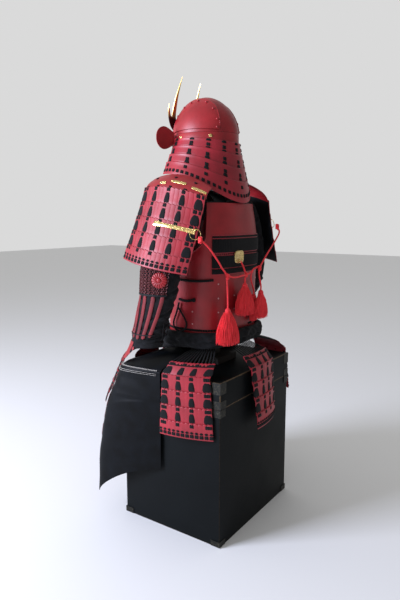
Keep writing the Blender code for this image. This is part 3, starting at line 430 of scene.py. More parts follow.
def edge_wear(tree, wide, low, high):
    """How near a point is to two of the box's outer limits at once, from 0 to 1."""
    split = add_node(tree, "ShaderNodeSeparateXYZ", _0=place_in(tree)).outputs
    near = [map_range(tree, maths(tree, "ABSOLUTE", split[axis]), half - wide, half - 0.001)
            for axis, half in zip("XY", CHEST_HALF)]
    near.append(maths(tree, "MAXIMUM", *(
        map_range(tree, split["Z"], limit + inward * wide, limit + inward * 0.001)
        for limit, inward in ((low, 1), (high, -1)))))
    pairs = [maths(tree, "MINIMUM", near[a], near[b]) for a, b in ((0, 1), (1, 2), (0, 2))]
    return maths(tree, "MAXIMUM", maths(tree, "MAXIMUM", *pairs[:2]), pairs[2])


def worn_lacquer(name, low, high, rubbed):
    """Black urushi on wood: soft gloss over dents, rubbed to a browner ground at the edges."""
    made, tree, shader = principled(name, IOR=1.5, Specular_IOR_Level=0.10)
    patches = noise(tree, 9.0, 5.0)
    broken = add_node(tree, "ShaderNodeMath", {"operation": "MULTIPLY_ADD", 1: 1.5},
                      _0=edge_wear(tree, 0.007, low, high), _2=noise(tree, 140.0, 4.0))
    colour = add_node(tree, "ShaderNodeMix", {"data_type": "RGBA", 7: linear(rubbed)},
                      _0=map_range(tree, broken.outputs[0], 1.22, 1.85),
                      _6=ramp(tree, patches, linear("050708"), linear("0c1012")))
    tree.links.new(colour.outputs[2], shader.inputs["Base Color"])
    tree.links.new(map_range(tree, patches, 0.0, 1.0, 0.42, 0.60), shader.inputs["Roughness"])
    emboss(tree, shader, noise(tree, 28.0, 3.0), 0.25, 0.0012)
    return made


loft("chest_body_lacquered", chest_rings([
    (0.002, 0.0), (0.001, 0.001), (0.001, LID_FOOT - 0.0013), (0.0018, LID_FOOT - 0.0003),
    (0.0073, LID_FOOT - 0.0003), (0.0073, 0.5397), (0.016, 0.5397), (0.016, 0.012)]),
    worn_lacquer("black_urushi_body", 0.0, LID_FOOT, "2c261f"), "chest_body",
    smooth=25)
loft("chest_lid_lacquered", chest_rings([
    (0.004, CHEST_TOP), (0.0012, CHEST_TOP - 0.001), (0.0, CHEST_TOP - 0.004),
    (0.0, LID_FOOT + 0.001), (0.001, LID_FOOT), (0.007, LID_FOOT), (0.007, LID_INSIDE)]),
    worn_lacquer("black_urushi_lid", LID_FOOT, CHEST_TOP, "5e4e3c"),
    "chest_lid", smooth=25)

# Dulled brass: thin plate gone brown, brighter where it is rubbed.
dulled_brass, tree, shader = principled("dulled_brass", Metallic=0.5, Roughness=0.5, IOR=1.5)
shade(tree, shader, noise(tree, 160.0, 6.0), linear("13130f"), linear("4a4535"), 0.50, 0.80)


def corner_plate(reach, low, high, turn_x, turn_y):
    """An angle plate round an upright corner, its two wings reach wide, 0.8 mm thick."""
    outside = np.array([(-reach, 0.0008), (0.0008, 0.0008), (0.0008, -reach)])
    inside = np.array([(0.0, -reach), (0.0, 0.0), (-reach, 0.0)])
    flat = np.concatenate([outside, inside]) + CHEST_HALF
    rings = [np.column_stack([flat * (turn_x, turn_y), np.full(6, z)]) for z in (low, high)]
    return np.stack(rings)


for level, (reach, low, high) in {
        "lid_top": (0.034, 0.512, 0.5496), "lid_foot": (0.034, 0.4645, 0.4900),
        "body_top": (0.030, 0.4380, 0.4620), "body_foot": (0.034, 0.0010, 0.0200)}.items():
    for number, turns in enumerate((((1, 1), (-1, -1)), ((1, -1), (-1, 1)))):
        loft(f"corner_plates_{level}_{number + 1}",
             np.stack([corner_plate(reach, low, high, x, y) for x, y in turns]),
             dulled_brass, smooth=20)

# Stand: a plain post, shoulder bar and head block of wood, stained nearly black, which the
# armour hangs on. The CAD solids are shown as they are.
stained_wood, tree, shader = principled("stained_wood", Roughness=0.6, IOR=1.5)
along_grain = add_node(tree, "ShaderNodeMapping", {"Scale": (90.0, 90.0, 6.0)},
                       Vector=place_in(tree))
grain = add_node(tree, "ShaderNodeTexNoise", {"Scale": 1.0, "Detail": 5.0},
                 Vector=along_grain.outputs["Vector"])
shade(tree, shader, grain.outputs["Fac"], linear("16120f"), linear("2e251d"))
for name in ("stand_post", "stand_shoulder_bar", "stand_head"):
    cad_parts[name].data.materials.clear()
    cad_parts[name].data.materials.append(stained_wood)


# Lacing: flat braided silk, black, and its blocks and knots on the lames. Each stitch is a low
# rounded block that follows the plate it lies on.
SQUARE = np.array([           # two cords side by side, across and down from -1 to 1
    (-1, -.7), (-.75, -1), (-.2, -1), (0, -.74), (.2, -1), (.75, -1), (1, -.7),
    (1, .7), (.75, 1), (.2, 1), (0, .74), (-.2, 1), (-.75, 1), (-1, .7)])
SPREAD = np.array([           # cords that fan out downwards to a toothed foot
    (-.66, -.84), (-.5, -1), (.5, -1), (.66, -.84), (.88, -.30), (1.0, .45), (.88, .95),
    (.48, .86), (.22, 1), (-.10, .86), (-.42, 1), (-.80, .90), (-1.0, .50), (-.88, -.30)])
DIAMOND = np.array([          # a small knot or a dash
    (-1, 0), (-.8, -.35), (-.35, -.8), (0, -1), (.35, -.8), (.8, -.35), (1, 0),
    (.95, .15), (.8, .35), (.35, .8), (0, 1), (-.35, .8), (-.8, .35), (-.95, .15)])
STITCH_RISE = (               # part of the outline's reach, and height over the surface
    (1.00, -0.0010), (1.00, 0.0010), (0.82, 0.0019), (0.45, 0.0023))

# Braided silk: dull, with its plait in ribs about 1.5 mm apart.
black_braid, tree, shader = principled("black_silk_braid", Roughness=0.80, Sheen_Weight=0.04,
                                       IOR=1.5, Specular_IOR_Level=0.15)
plait = noise(tree, 650.0, 1.0)
braid = linear("151517")
shade(tree, shader, plait, (*(0.45 * part for part in braid[:3]), 1.0), braid, 0.35, 0.62)
emboss(tree, shader, plait, 0.5, 0.0005)


def stitches(place, spots, outline, rise=1.0):
    """Stitch bodies on a surface. spots has the columns down, share, half width and half
    height in metres, and how far out its plate's surface lies."""
    spots = np.atleast_2d(np.array(spots, float))
    down, share, wide, tall, base = spots.T
    here = place(down, share, base)
    per_share = np.linalg.norm(place(down, share + 0.01, base) - here, axis=-1) / 0.01
    per_down = np.linalg.norm(place(down + 0.01, share, base) - here, axis=-1) / 0.01
    scale = np.array([s for s, _ in STITCH_RISE])[None, :, None]
    lift = rise * np.array([r for _, r in STITCH_RISE])[None, :, None]
    across = outline[:, 0][None, None] * scale
    along = outline[:, 1][None, None] * scale
    return place(down[:, None, None] + along * (tall / per_down)[:, None, None],
                 share[:, None, None] + across * (wide / per_share)[:, None, None],
                 base[:, None, None] + lift + 0 * across)


# Lacquered lames of rawhide scales: red urushi over a moulded ground, satin, with the soft
# ribs of the scales and a saw-toothed upper edge where the scale heads stand.
def red_urushi(name, light, deep, gloss):
    """Red lacquer: depth from a slow mottle in its colour, and fine brush ripple in its gloss."""
    made, tree, shader = principled(name, IOR=1.5, Specular_IOR_Level=0.46)
    shade(tree, shader, noise(tree, 14.0, 4.0), linear(deep), linear(light), 0.3, 0.7)
    grain = noise(tree, 75.0, 3.0)
    tree.links.new(map_range(tree, grain, 0.0, 1.0, gloss - 0.06, gloss + 0.10),
                   shader.inputs["Roughness"])
    emboss(tree, shader, grain, 0.2, 0.0006)
    return made


black_coat, _, _ = principled("black_coat", Base_Color=linear("0d0f11"), Roughness=0.5,
                              Specular_IOR_Level=0.3)
lame_red = red_urushi("red_urushi_on_scales", "a4202f", "861824", 0.44)
plate_red = red_urushi("red_urushi_on_plate", "9e1a23", "7d1219", 0.40)
LAME_WALL = 0.0022
LAME_OUT = (0.0062, 0.0026)       # how far out a lame's face is at its top and at its foot
LAME_SLOPE = LAME_OUT[0] - LAME_OUT[1]
BLOCK_AT, FAN_AT = 0.0088, 0.0168    # below a lame's top: the lacing's block, and where it fans


def lame_rings(place, top, foot, length, teeth, tooth=0.0034, rib=0.0004, arched=False, lip=0.0):
    """One lame from the share -1 to 1. Each scale's top slopes down over its width by tooth,
    or is arched, and its face swells by rib, and by lip along its top. The foot and edges are
    rounded over."""
    phase = np.array([0.0, 0.12, 0.35, 0.62, 0.86, 0.985])
    share = ((np.arange(teeth)[:, None] + phase[None]).ravel() * 2 / teeth) - 1
    share = np.append(share, 1.0)
    rise = np.append(np.tile(phase, teeth), 0.985)
    head = top + tooth * (0.7 - 0.7 * np.sin(np.pi * rise) ** 0.7 if arched else rise) / length
    swell = rib * np.sin(np.pi * rise) ** 0.8
    profile = [                # part of the way from head to foot, inwards, part of the swell
        (0.000, 0.0012 - lip, 0.3), (0.030, -lip, 1.0), (0.075, -lip, 1.0), (0.12, 0.0, 1.0),
        (0.35, 0.0, 1.0), (0.70, 0.0, 0.9),
        (0.960, 0.0, 0.4), (1.000, 0.0008, 0.0), (1.000, 0.0018, 0.0), (0.960, LAME_WALL, 0.0),
        (0.50, LAME_WALL, 0.0), (0.030, LAME_WALL, 0.0), (0.000, 0.0018, 0.0)]
    part, inward, swelling = (np.array(column)[None] for column in zip(*profile))
    down = blend(head[:, None], foot, part)
    out = blend(*LAME_OUT, part) - inward + swell[:, None] * swelling
    return place(down, share[:, None] + 0 * down, out)


def dressed_panel(name, place, tops, feet, length, teeth, columns, wide, knots, arched=False):
    """The lames and black lacing of one hanging panel, in place of the CAD node of its name.
    columns are the shares of the lacing, wide those with a double row, and knots the number in
    the row along the foot. length is the panel's, in metres."""
    rings = np.stack([lame_rings(place, top, foot, length, teeth, arched=arched)
                      for top, foot in zip(tops, feet)])
    loft(name + "_lames", rings, lame_red, name, smooth=28)
    squares, fans, diamonds = [], [], []
    for number, (top, foot) in enumerate(zip(tops, feet)):
        last = number == len(tops) - 1
        after = foot if last else tops[number + 1]
        height = (after - top) * length
        face = LAME_OUT[0] - LAME_SLOPE * 0.25
        low_face = LAME_OUT[0] - LAME_SLOPE * 0.70
        for share in columns:
            double = abs(share) in wide
            squares.append((top + BLOCK_AT / length, share - (0.030 if double else 0),
                            0.0068, 0.0060, face))
            if double:
                squares.append((top + BLOCK_AT / length, share + 0.085, 0.0042, 0.0058, face))
            if not last:
                middle = top + (FAN_AT + (height - FAN_AT) / 2) / length
                fans.append((middle, share + (0.008 if double else 0),
                             0.0146 if double else 0.0100, (height - 0.0160) / 2, low_face))
    for share in np.linspace(-0.95, 0.95, knots):
        squares.append((foot - 0.0100 / length, share, 0.0064, 0.0058, LAME_OUT[1] + .0006))
        diamonds.append((foot - 0.0206 / length, share, 0.0060, 0.0044, LAME_OUT[1] + .0020))
    bodies = [stitches(place, squares, SQUARE), stitches(place, fans, SPREAD, 1.15),
              stitches(place, diamonds, DIAMOND, 0.8)]
    if arched:
        band = [(0.050, share, 0.0046, 0.0022, 0.0058) for share in np.linspace(-0.94, 0.94, 17)]
        bodies.append(stitches(place, band, SQUARE, 0.8))
    loft(name + "_lacing", np.concatenate(bodies), black_braid, smooth=50)


# Shoulder guards: a panel of five lames, hung from a crown plate that arches in towards the
# neck. The crown has gilt lip mounts, and each panel a gilt bar with a ring for its cord.
GUARD_X = (0.203, 0.296)         # at the panel's top and at its foot
# y of the front edge and the rear edge, z of the same, and how far the middle bows outwards
GUARD_TOP = (-0.116, 0.124, 1.151, 1.117, 0.024)
GUARD_FOOT = (-0.135, 0.117, 0.924, 0.884, 0.036)
GUARD_LEAN = 0.38


def guard_place(side):
    """A bowed panel: down from 0 at its top edge to 1 at its foot, and share from the front
    edge (-1) to the rear (1). It leans outwards as it goes down."""
    def place(down, share, out):
        drop = np.maximum(down, 0) ** 1.15 + np.minimum(down, 0)
        to_rear = (share + 1) / 2
        front_y, rear_y, front_z, rear_z, bow = (
            blend(top, foot, down) for top, foot in zip(GUARD_TOP, GUARD_FOOT))
        arch = 1 - share ** 2
        z = blend(front_z, rear_z, to_rear) + 0.014 * (1 - down) * arch
        return xyz(side * (blend(*GUARD_X, drop) + bow * arch + out * np.cos(GUARD_LEAN)),
                   blend(front_y, rear_y, to_rear), z + out * np.sin(GUARD_LEAN))
    return place


CROWN_HEIGHT = 0.068


def crown_place(side):
    """Up from 0, just inside the panel's top edge, to 1 at the crown's rim near the neck."""
    panel = guard_place(1)

    def place(up, share, out):
        start = panel(0.03, share, -0.0007)
        tall = CROWN_HEIGHT * (0.72 + 0.28 * (1 - share ** 2))
        lean = np.radians(42) * np.maximum(up, 0) ** 0.6
        return xyz(
            side * (start[..., 0] - up * tall * np.sin(lean) * 1.25 + out * np.cos(lean)),
            0.004 + (start[..., 1] - 0.004) * (1 - 0.05 * up),
            start[..., 2] + up * tall * np.cos(lean) + out * np.sin(lean))
    return place


def edge_rolled(place, shares, levels, wall, roll):
    """A smooth plate as rings along its shares, with a low round bead along its far edge."""
    up = np.linspace(0, 1, levels)
    bead = roll * np.clip(1 - np.abs(up - 0.955) / 0.045, 0, 1) ** 0.5
    outer = xyz(up, bead)
    inner = xyz(up[::-1], np.full(levels, -wall))
    ring = np.concatenate([outer, inner])
    return place(ring[None, :, 0] + 0 * shares[:, None], shares[:, None] + 0 * ring[None, :, 0],
                 ring[None, :, 1] + 0 * shares[:, None])


# Gilt copper: bright polished gold with engraved scrolls, dark in the cut lines.
gilt_copper, tree, shader = principled("gilt_copper", Metallic=1.0, Roughness=0.24)
cut = map_range(tree, cells(tree, 230.0), 0.015, 0.075)
shade(tree, shader, cut, linear("8a6424"), linear("f7dd98"))
emboss(tree, shader, cut, 0.6, 0.0006)


def strap_rings(place, down, from_share, to_share, base, widths, thick=0.0016):
    """A thin metal strip along a surface. widths gives its half width at even stations."""
    share = np.linspace(from_share, to_share, 4 * len(widths))
    half = np.interp(np.linspace(0, 1, len(share)), np.linspace(0, 1, len(widths)), widths)
    level = np.full(len(share), down)
    per_down = np.linalg.norm(place(down + 0.01, share, base) - place(down, share, base),
                              axis=-1) / 0.01
    section = np.array([(-1, -0.3), (-1, 0.6), (-0.8, 1), (0, 1.1), (0.8, 1), (1, 0.6), (1, -0.3)])
    return place(level[:, None] + section[None, :, 0] * (half / per_down)[:, None],
                 share[:, None] + 0 * section[None, :, 0],
                 base + thick * section[None, :, 1] + 0 * share[:, None])


for side, end in SIDES:
    place = guard_place(side)
    tops = [0.0, 0.200, 0.400, 0.600, 0.800]
    feet = [0.228, 0.428, 0.628, 0.828, 1.0]
    dressed_panel(f"shoulder_guard_{end}", place, tops, feet, 0.262, 15,
                  (-0.90, -0.45, 0.0, 0.45, 0.87), (0.90, 0.87), 15)
    crown = crown_place(side)
    loft(f"crown_plate_{end}", edge_rolled(crown, np.linspace(-1, 1, 61), 26, 0.0024, 0.0012),
         plate_red, f"guard_crown_{end}", smooth=50)
    wavy = [0.0034, 0.0058, 0.0048, 0.0062, 0.0052, 0.0052, 0.0062, 0.0048, 0.0058, 0.0034]
    mounts = [strap_rings(crown, up, a, b, 0.0002, wavy) for up, a, b in (
        (0.33, -0.42, -0.20), (0.45, -0.05, 0.42), (0.36, 0.60, 0.985))]
    loft(f"crown_mounts_{end}", np.stack(mounts), gilt_copper)
    ties = [(0.70, s, 0.0055, 0.0040, 0.0002) for s in (-0.70, 0.00, 0.62)]
    ties += [(0.14, s, 0.0060, 0.0044, 0.0002) for s in (-0.90, -0.45, 0.0, 0.45, 0.87)]
    loft(f"crown_ties_{end}", stitches(crown, ties, SPREAD, 1.2), black_braid)
    bar = strap_rings(place, 0.472, -0.16, 0.96, 0.0062,
                      [0.0085, 0.0085, 0.0064, 0.0062, 0.0062, 0.0062, 0.0062, 0.0064, 0.0074,
                       0.0085], 0.0022)
    loft(f"cord_bar_{end}", bar, gilt_copper)
    # The panel is coated black inside.
    levels = np.linspace(0.01, 0.985, 12)
    coat = np.concatenate([xyz(levels, -0.0003), xyz(levels[::-1], -0.0013)])[None]
    loft(f"guard_inner_coat_{end}",
         place(coat[..., 0], np.linspace(-0.985, 0.985, 41)[:, None], coat[..., 1]),
         black_coat)
    ring_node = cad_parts[f"ring_{end}"]
    ring_node.data.materials.clear()
    ring_node.data.materials.append(gilt_copper)


# Helmet: an under-bowl whose middle strip shows between two riveted side plates, over a plain
# band. All are iron plate under thick red lacquer, joined by domed rivets lacquered over.
HELMET_Y = -0.015
BOWL_HALF = (0.100, 0.1155)
BOWL_BASE = 1.332
BOWL_RISE = 0.125


def bowl_place(reach, turn, out):
    """On the bowl: reach 0 at its top and 1 at its base, turn from the back to its left."""
    height = np.maximum(0, 1 - np.minimum(reach, 1) ** 1.9) ** (1 / 1.8)
    rise = 0.15 + 0.85 * height ** 2
    level = np.sqrt(np.maximum(0, 1 - rise ** 2))
    return xyz((BOWL_HALF[0] * reach + out * level) * np.sin(turn),
               HELMET_Y + (BOWL_HALF[1] * reach + out * level) * np.cos(turn),
               BOWL_BASE + BOWL_RISE * height + out * rise)


around = circle(96)[None]
reach = np.sin(np.linspace(np.pi / 2, 0.012, 40))
rows = np.array([(r, 0.0) for r in reach] + [(r, -0.0024) for r in reach[::-1]])
loft("helmet_bowl_lacquered", bowl_place(rows[:, :1], around, rows[:, 1:]), plate_red,
     "helmet_bowl", join=True, smooth=60)


def side_plate_place(side):
    """Up from 0 at the base to 1 at the middle strip, share from the front to the back."""
    def place(up, share, out):
        ahead = 0.80 * BOWL_HALF[1] * np.sin(share * np.pi / 2)
        half = BOWL_HALF[0] * np.sqrt(1 - (ahead / BOWL_HALF[1]) ** 2)
        flare = np.maximum(0, (np.abs(ahead) - 0.060) / 0.0324) ** 1.6
        edge = np.minimum(0.039 + 0.019 * flare, 0.955 * half)
        x = blend(edge, 0.995 * half, np.sin((1 - up) * np.pi / 2))
        made = bowl_place(np.hypot(x / BOWL_HALF[0], ahead / BOWL_HALF[1]),
                          np.arctan2(x / BOWL_HALF[0], ahead / BOWL_HALF[1]), 0.0040 + out)
        made[..., 2] = np.maximum(made[..., 2], BOWL_BASE + 0.001)
        return made * (side, 1, 1)
    return place


def dome_rings(centres, normals, radius, height):
    """Rivet heads: a low dome on each centre, its axis along the normal there."""
    normals = unit(normals)
    level = unit(np.cross(normals, (0.13, 0.27, 1.0)))
    other = np.cross(normals, level)
    angle = circle(14)
    flat = np.cos(angle)[None, :, None] * level[:, None] + (
        np.sin(angle)[None, :, None] * other[:, None])
    profile = [(1.0, -0.25), (1.0, 0.25), (0.90, 0.55), (0.66, 0.85), (0.30, 1.0)]
    return np.stack([centres[:, None] + flat * radius * r + normals[:, None] * height * h
                     for r, h in profile], axis=1)


def surface_domes(place, down, share, base, radius, height):
    """Rivet heads on a place function's surface."""
    down, share = np.broadcast_arrays(np.array(down, float), np.array(share, float))
    centres = place(down, share, base)
    return dome_rings(centres, place(down, share, base + 0.004) - centres, radius, height)


RIVETS = [(0.0655, 0.086), (0.0600, 0.083), (0.0550, 0.064), (0.0520, 0.036), (0.0535, 0.006),
          (0.0560, -0.019), (0.0570, -0.045), (0.0610, -0.068), (0.0660, -0.086)]  # x, y ahead

for side, end in SIDES:
    place = side_plate_place(side)
    loft(f"side_plate_{end}", edge_rolled(place, np.linspace(-1, 1, 73), 40, 0.0020, 0.0011),
         plate_red, f"helmet_side_{end}", smooth=50)
    rivet_x, rivet_y = np.array(RIVETS).T
    reach = np.hypot(rivet_x / BOWL_HALF[0], rivet_y / BOWL_HALF[1])
    turn = side * np.arctan2(rivet_x / BOWL_HALF[0], rivet_y / BOWL_HALF[1])
    loft(f"helmet_rivets_{end}",
         surface_domes(bowl_place, reach, turn, 0.0042, 0.0042, 0.0042), plate_red)


def oval_ring(z, out):
    """A ring round the helmet's base outline."""
    return xyz((BOWL_HALF[0] + out) * np.sin(around[0]),
               HELMET_Y + (BOWL_HALF[1] + out) * np.cos(around[0]),
               z)


BAND_TOP = 1.3312
loft("helmet_band_lacquered", np.stack([oval_ring(z, out) for z, out in (
    (BAND_TOP, -0.0024), (BAND_TOP, 0.0002), (1.3306, 0.0007), (1.2995, 0.0013), (1.2985, 0.0026),
    (1.2972, 0.0028), (1.2962, 0.0016), (1.2962, -0.0024))]), plate_red,
    "helmet_band", join=True, smooth=40)


def band_place(down, turn, out):
    """On the helmet's band: down from 0 to 1 at its lower edge."""
    return xyz((BOWL_HALF[0] + 0.001 + out) * np.sin(turn),
               HELMET_Y + (BOWL_HALF[1] + 0.001 + out) * np.cos(turn),
               BAND_TOP - 0.0352 * down)


studs = np.radians([52.0, 108.5, -52.0, -108.5])
loft("helmet_studs", surface_domes(band_place, 0.38, studs, 0.0, 0.0060, 0.0030),
     gilt_copper)


def brim_place(up, share, out):
    """The brim: up from the band (0) to its lip (1), share from side to side."""
    turn = np.radians(180 + 58 * share)
    bulge = np.maximum(0, np.cos(np.clip(share, -1, 1) * np.pi / 2)) ** 0.7
    away = 0.0018 + up * 0.038 * np.maximum(bulge, 0.05)
    return xyz((BOWL_HALF[0] + away) * np.sin(turn),
               HELMET_Y + (BOWL_HALF[1] + away) * np.cos(turn),
               BOWL_BASE - 0.005 - 0.016 * np.abs(up) ** 1.5 * bulge + out + 0.0012)


loft("brim_lacquered", edge_rolled(brim_place, np.linspace(-1, 1, 65), 24, 0.0024, 0.0010),
     plate_red, "helmet_brim", smooth=50)

# Crest: two tall gilt horns cut from one plate of copper, with a plain disc before their
# foot. The plate is gilt on the horns. Its lower part is painted dark red-brown and not
# metallic: a painted shade with a painted reflection of the red helmet.
CREST_OUTLINE = [             # x, height above the crest's foot, right half from the middle
    (0.000, 0.000), (0.026, 0.002), (0.050, 0.012), (0.071, 0.034), (0.085, 0.060),
    (0.0895, 0.086), (0.078, 0.064), (0.068, 0.050), (0.060, 0.048), (0.0640, 0.075),
    (0.0635, 0.116), (0.0535, 0.180), (0.0525, 0.124), (0.048, 0.085), (0.040, 0.050),
    (0.024, 0.032), (0.000, 0.028)]
CREST_FOOT = np.array((0.0, -0.1305, 1.352))
CREST_LEAN = math.radians(18)


def on_crest(x, up, out):
    """A point on the leaning crest plate."""
    return CREST_FOOT + xyz(x, up * math.sin(CREST_LEAN) - out * math.cos(CREST_LEAN),
                            up * math.cos(CREST_LEAN) + out * math.sin(CREST_LEAN))


runs = [CREST_OUTLINE[0:6], CREST_OUTLINE[5:9], CREST_OUTLINE[8:12], CREST_OUTLINE[11:17]]
half_edge = np.concatenate([smooth_route([(x, z, 0) for x, z in run], 0.0025)[:-1, :2]
                            for run in runs] + [np.array([CREST_OUTLINE[16]])])
edge = np.concatenate([half_edge, half_edge[-2:0:-1] * (-1, 1)])
gilt_plate_and_painted_shade, tree, shader = principled("gilt_plate_and_painted_shade", Roughness=0.38, Specular_IOR_Level=0.2)
split = add_node(tree, "ShaderNodeSeparateXYZ", _0=place_in(tree))
# Painted shade: below z 1.392 to 1.412 the plate turns dark red-brown and not metallic, standing in
# for shade and a reflection of the red helmet.
gilt_above_painted_shade = map_range(tree, split.outputs["Z"], 1.392, 1.412)
hue = add_node(tree, "ShaderNodeMix", {
    "data_type": "RGBA", 6: linear("3a1416"), 7: linear("e9c478")}, _0=gilt_above_painted_shade)
tree.links.new(hue.outputs[2], shader.inputs["Base Color"])
tree.links.new(gilt_above_painted_shade, shader.inputs["Metallic"])
loft("crest_horns_gilt", np.stack([on_crest(*edge.T, out) for out in (-0.0010, 0.0010)]),
     gilt_plate_and_painted_shade, "crest_horns", smooth=35)
angle = circle(64)
profile = [(0.0234, 0.0014), (0.0240, 0.0019), (0.0240, 0.0045), (0.0232, 0.0053),
           (0.0212, 0.0053), (0.0200, 0.0047), (0.0120, 0.0060), (0.0020, 0.0066)]
loft("crest_disc_lacquered", np.stack([
    on_crest(r * np.cos(angle), 0.020 + r * np.sin(angle), out) for r, out in profile]),
    plate_red, "crest_disc", smooth=40)


# Ear plates: the ends of the top lame turned back, round, with a rolled lip.
def ear_place(side):
    """On an ear plate: up from -1 to 1, across from 0 at the helmet to 1 at its round tip."""
    root, tip = np.array((0.0900, -0.0830)), np.array((0.152, -0.116))
    normal = unit(np.array([root[1] - tip[1], tip[0] - root[0]]))

    def place(up, across, out):
        half = 0.037 * (0.45 + 0.55 * np.sin(np.pi / 2 * np.minimum(1, across * 1.7)))
        half = half * np.sqrt(np.maximum(0.04, 1 - np.maximum(0, (across - 0.55) / 0.46) ** 2))
        flat = root + (tip - root) * across[..., None] + (
            normal * (out + 0.010 * across ** 2)[..., None])
        return xyz(side * flat[..., 0], flat[..., 1], 1.318 + half * up)
    return place


for side, end in SIDES:
    place = ear_place(side)
    turn = np.linspace(-1, 1, 41)
    lip = 0.0012 * np.clip((np.abs(turn) - 0.86) / 0.05, 0, 1)
    ring = np.concatenate([xyz(turn, 0.0012 + lip), xyz(turn[::-1], -0.0012)])
    across = np.linspace(0, 1, 40)[:, None] ** 0.85
    loft(f"ear_plate_{end}_lacquered",
         place(ring[None, :, 0] + 0 * across, across + 0 * ring[None, :, 0],
               ring[None, :, 1] + 0 * across),
         plate_red, f"ear_plate_{end}", smooth=50)


# Neck guard: four smooth lames, laced in black in pairs of blocks and knots, black inside.
NECK_REACH = math.radians(123)   # from the back to each end
NECK_TOP = (0.1006, 0.1163, 1.317, 1.303)    # half width, half length, z in front, z behind
NECK_RIM = (0.162, 0.152, 1.198, 1.103)


def neck_place(down, share, out):
    """Down from the bowl's band (0) to the rim (1), share from the right (-1) to the left."""
    turn = share * NECK_REACH
    sweep = (np.cos(turn) - math.cos(NECK_REACH)) / (1 - math.cos(NECK_REACH))
    sweep = np.sign(sweep) * np.abs(sweep) ** 2.3
    wide, long, front, back = (blend(top, rim, down) for top, rim in zip(NECK_TOP, NECK_RIM))
    return xyz((wide + out) * np.sin(turn), HELMET_Y + (long + out) * np.cos(turn),
               blend(front, back, sweep))


NECK_LAMES = [(0.012, 0.245), (0.210, 0.465), (0.430, 0.685), (0.650, 1.000)]
neck_red = red_urushi("red_urushi_smooth", "a31f2e", "841724", 0.42)
for number, (top, foot) in enumerate(NECK_LAMES):
    rings = lame_rings(lambda d, s, o: neck_place(d, s, o - 0.0026), top, foot, 0.20, 34,
                       0.0, 0.0, lip=0.0008)
    loft(f"neck_lame_{number + 1}_lacquered", rings, neck_red,
         f"neck_lame_{number + 1}", smooth=40)
columns = [0.0, -0.235, 0.235, -0.45, 0.45, -0.67, 0.67, -0.935, 0.935]
squares = [(down, share, 0.0062, 0.0058, base) for share in columns
           for down, base in ((0.130, 0.0022), (0.330, 0.0020), (0.545, 0.0020), (0.745, 0.0026))]
fans = [(down, share, 0.0085, tall, base) for share in columns
        for down, tall, base in ((0.035, 0.0042, 0.0034), (0.190, 0.0026, 0.0010),
                                 (0.398, 0.0052, 0.0010), (0.610, 0.0058, 0.0010))]
knots = [(0.885, share, 0.0058, 0.0058, 0.0010) for share in np.linspace(-0.975, 0.975, 36)]
loft("neck_guard_lacing", np.concatenate([
    stitches(neck_place, squares, SQUARE), stitches(neck_place, fans, SPREAD, 1.1),
    stitches(neck_place, knots, SQUARE)]), black_braid, smooth=50)

# The inside of the neck guard is coated black.
share = np.linspace(-0.985, 0.985, 81)
ring = [(down, -0.0030) for down in (0.03, 0.25, 0.5, 0.75, 0.985)]
ring = np.array(ring + [(down, -0.0040) for down, _ in ring[::-1]])
loft("neck_guard_inner_coat", neck_place(ring[None, :, 0], share[:, None], ring[None, :, 1]),
     black_coat)


# Cuirass: upright plates riveted edge over edge, red, with close black lacing in two bands
# across the back. The back half comes up to the neck, the front half to the chest.
TORSO_Z = np.array([0.672, 0.700, 0.760, 0.850, 0.930, 0.990, 1.050, 1.105])
TORSO_WIDE = np.array([0.1670, 0.1660, 0.1650, 0.1680, 0.1720, 0.1700, 0.1600, 0.1500])
TORSO_DEEP = np.array([0.1180, 0.1175, 0.1165, 0.1180, 0.1210, 0.1210, 0.1150, 0.1070])
BODY_Y = 0.018


def torso_place(z, turn, out):
    """On the cuirass at height z, turn in radians from the back towards its left side."""
    wide, deep = np.interp(z, TORSO_Z, TORSO_WIDE), np.interp(z, TORSO_Z, TORSO_DEEP)
    sine, cosine = np.sin(turn), np.cos(turn)
    reach = (np.abs(sine) ** 3 + np.abs(cosine) ** 3) ** (-1 / 3)
    sine, cosine = sine * reach, cosine * reach
    across, along = sine * np.abs(sine) / wide, cosine * np.abs(cosine) / deep
    push = out / np.hypot(across, along)
    return xyz(wide * sine + push * across, BODY_Y + deep * cosine + push * along,
               z)


SEAMS = np.radians([0.0, 20.5, 44.5, 64.0, 81.0, 90.0])     # from the middle of each half
ARMHOLE_FOOT, ARMHOLE_TALL = 0.925, 0.070


def half_rings(middle, narrow, top):
    """A half cuirass as rings of section; each plate stands a little over the one further back."""
    share = np.linspace(-1, 1, 141)[:, None]
    up = np.linspace(0, 1, 70)
    bead = 0.0011 * np.clip(1 - np.abs(up - 0.985) / 0.015, 0, 1) ** 0.5
    ring = np.concatenate([xyz(up, bead), xyz(up[::-1], -0.0024)])[None]
    z = blend(TORSO_Z[0], top, ring[..., 0]) + 0 * share
    part = np.clip((z - ARMHOLE_FOOT) / ARMHOLE_TALL, 0, 1)
    limit = blend(math.pi / 2 - 0.0012, math.radians(narrow), np.sin(part * np.pi / 2))
    turn = limit * share
    which = np.clip(np.searchsorted(SEAMS, np.abs(turn)) - 1, 0, len(SEAMS) - 2)
    step = (np.abs(turn) - SEAMS[which]) / (SEAMS[which + 1] - SEAMS[which])
    lower = np.clip((0.985 - z) / 0.010, 0, 1)
    face = (ring[..., 1] > -0.001) * 1.0
    hem = 0.0011 * np.clip((np.abs(share) - 0.972) / 0.014, 0, 1) * (z > 0.93)
    return torso_place(z, middle + turn, ring[..., 1] + face * (0.0003 * step * lower + hem))


for name, middle, narrow, top in (("cuirass_back", 0.0, 57, 1.102),
                                  ("cuirass_front", math.pi, 50, 1.072)):
    loft(name + "_lacquered", half_rings(middle, narrow, top), plate_red, name,
         smooth=30)

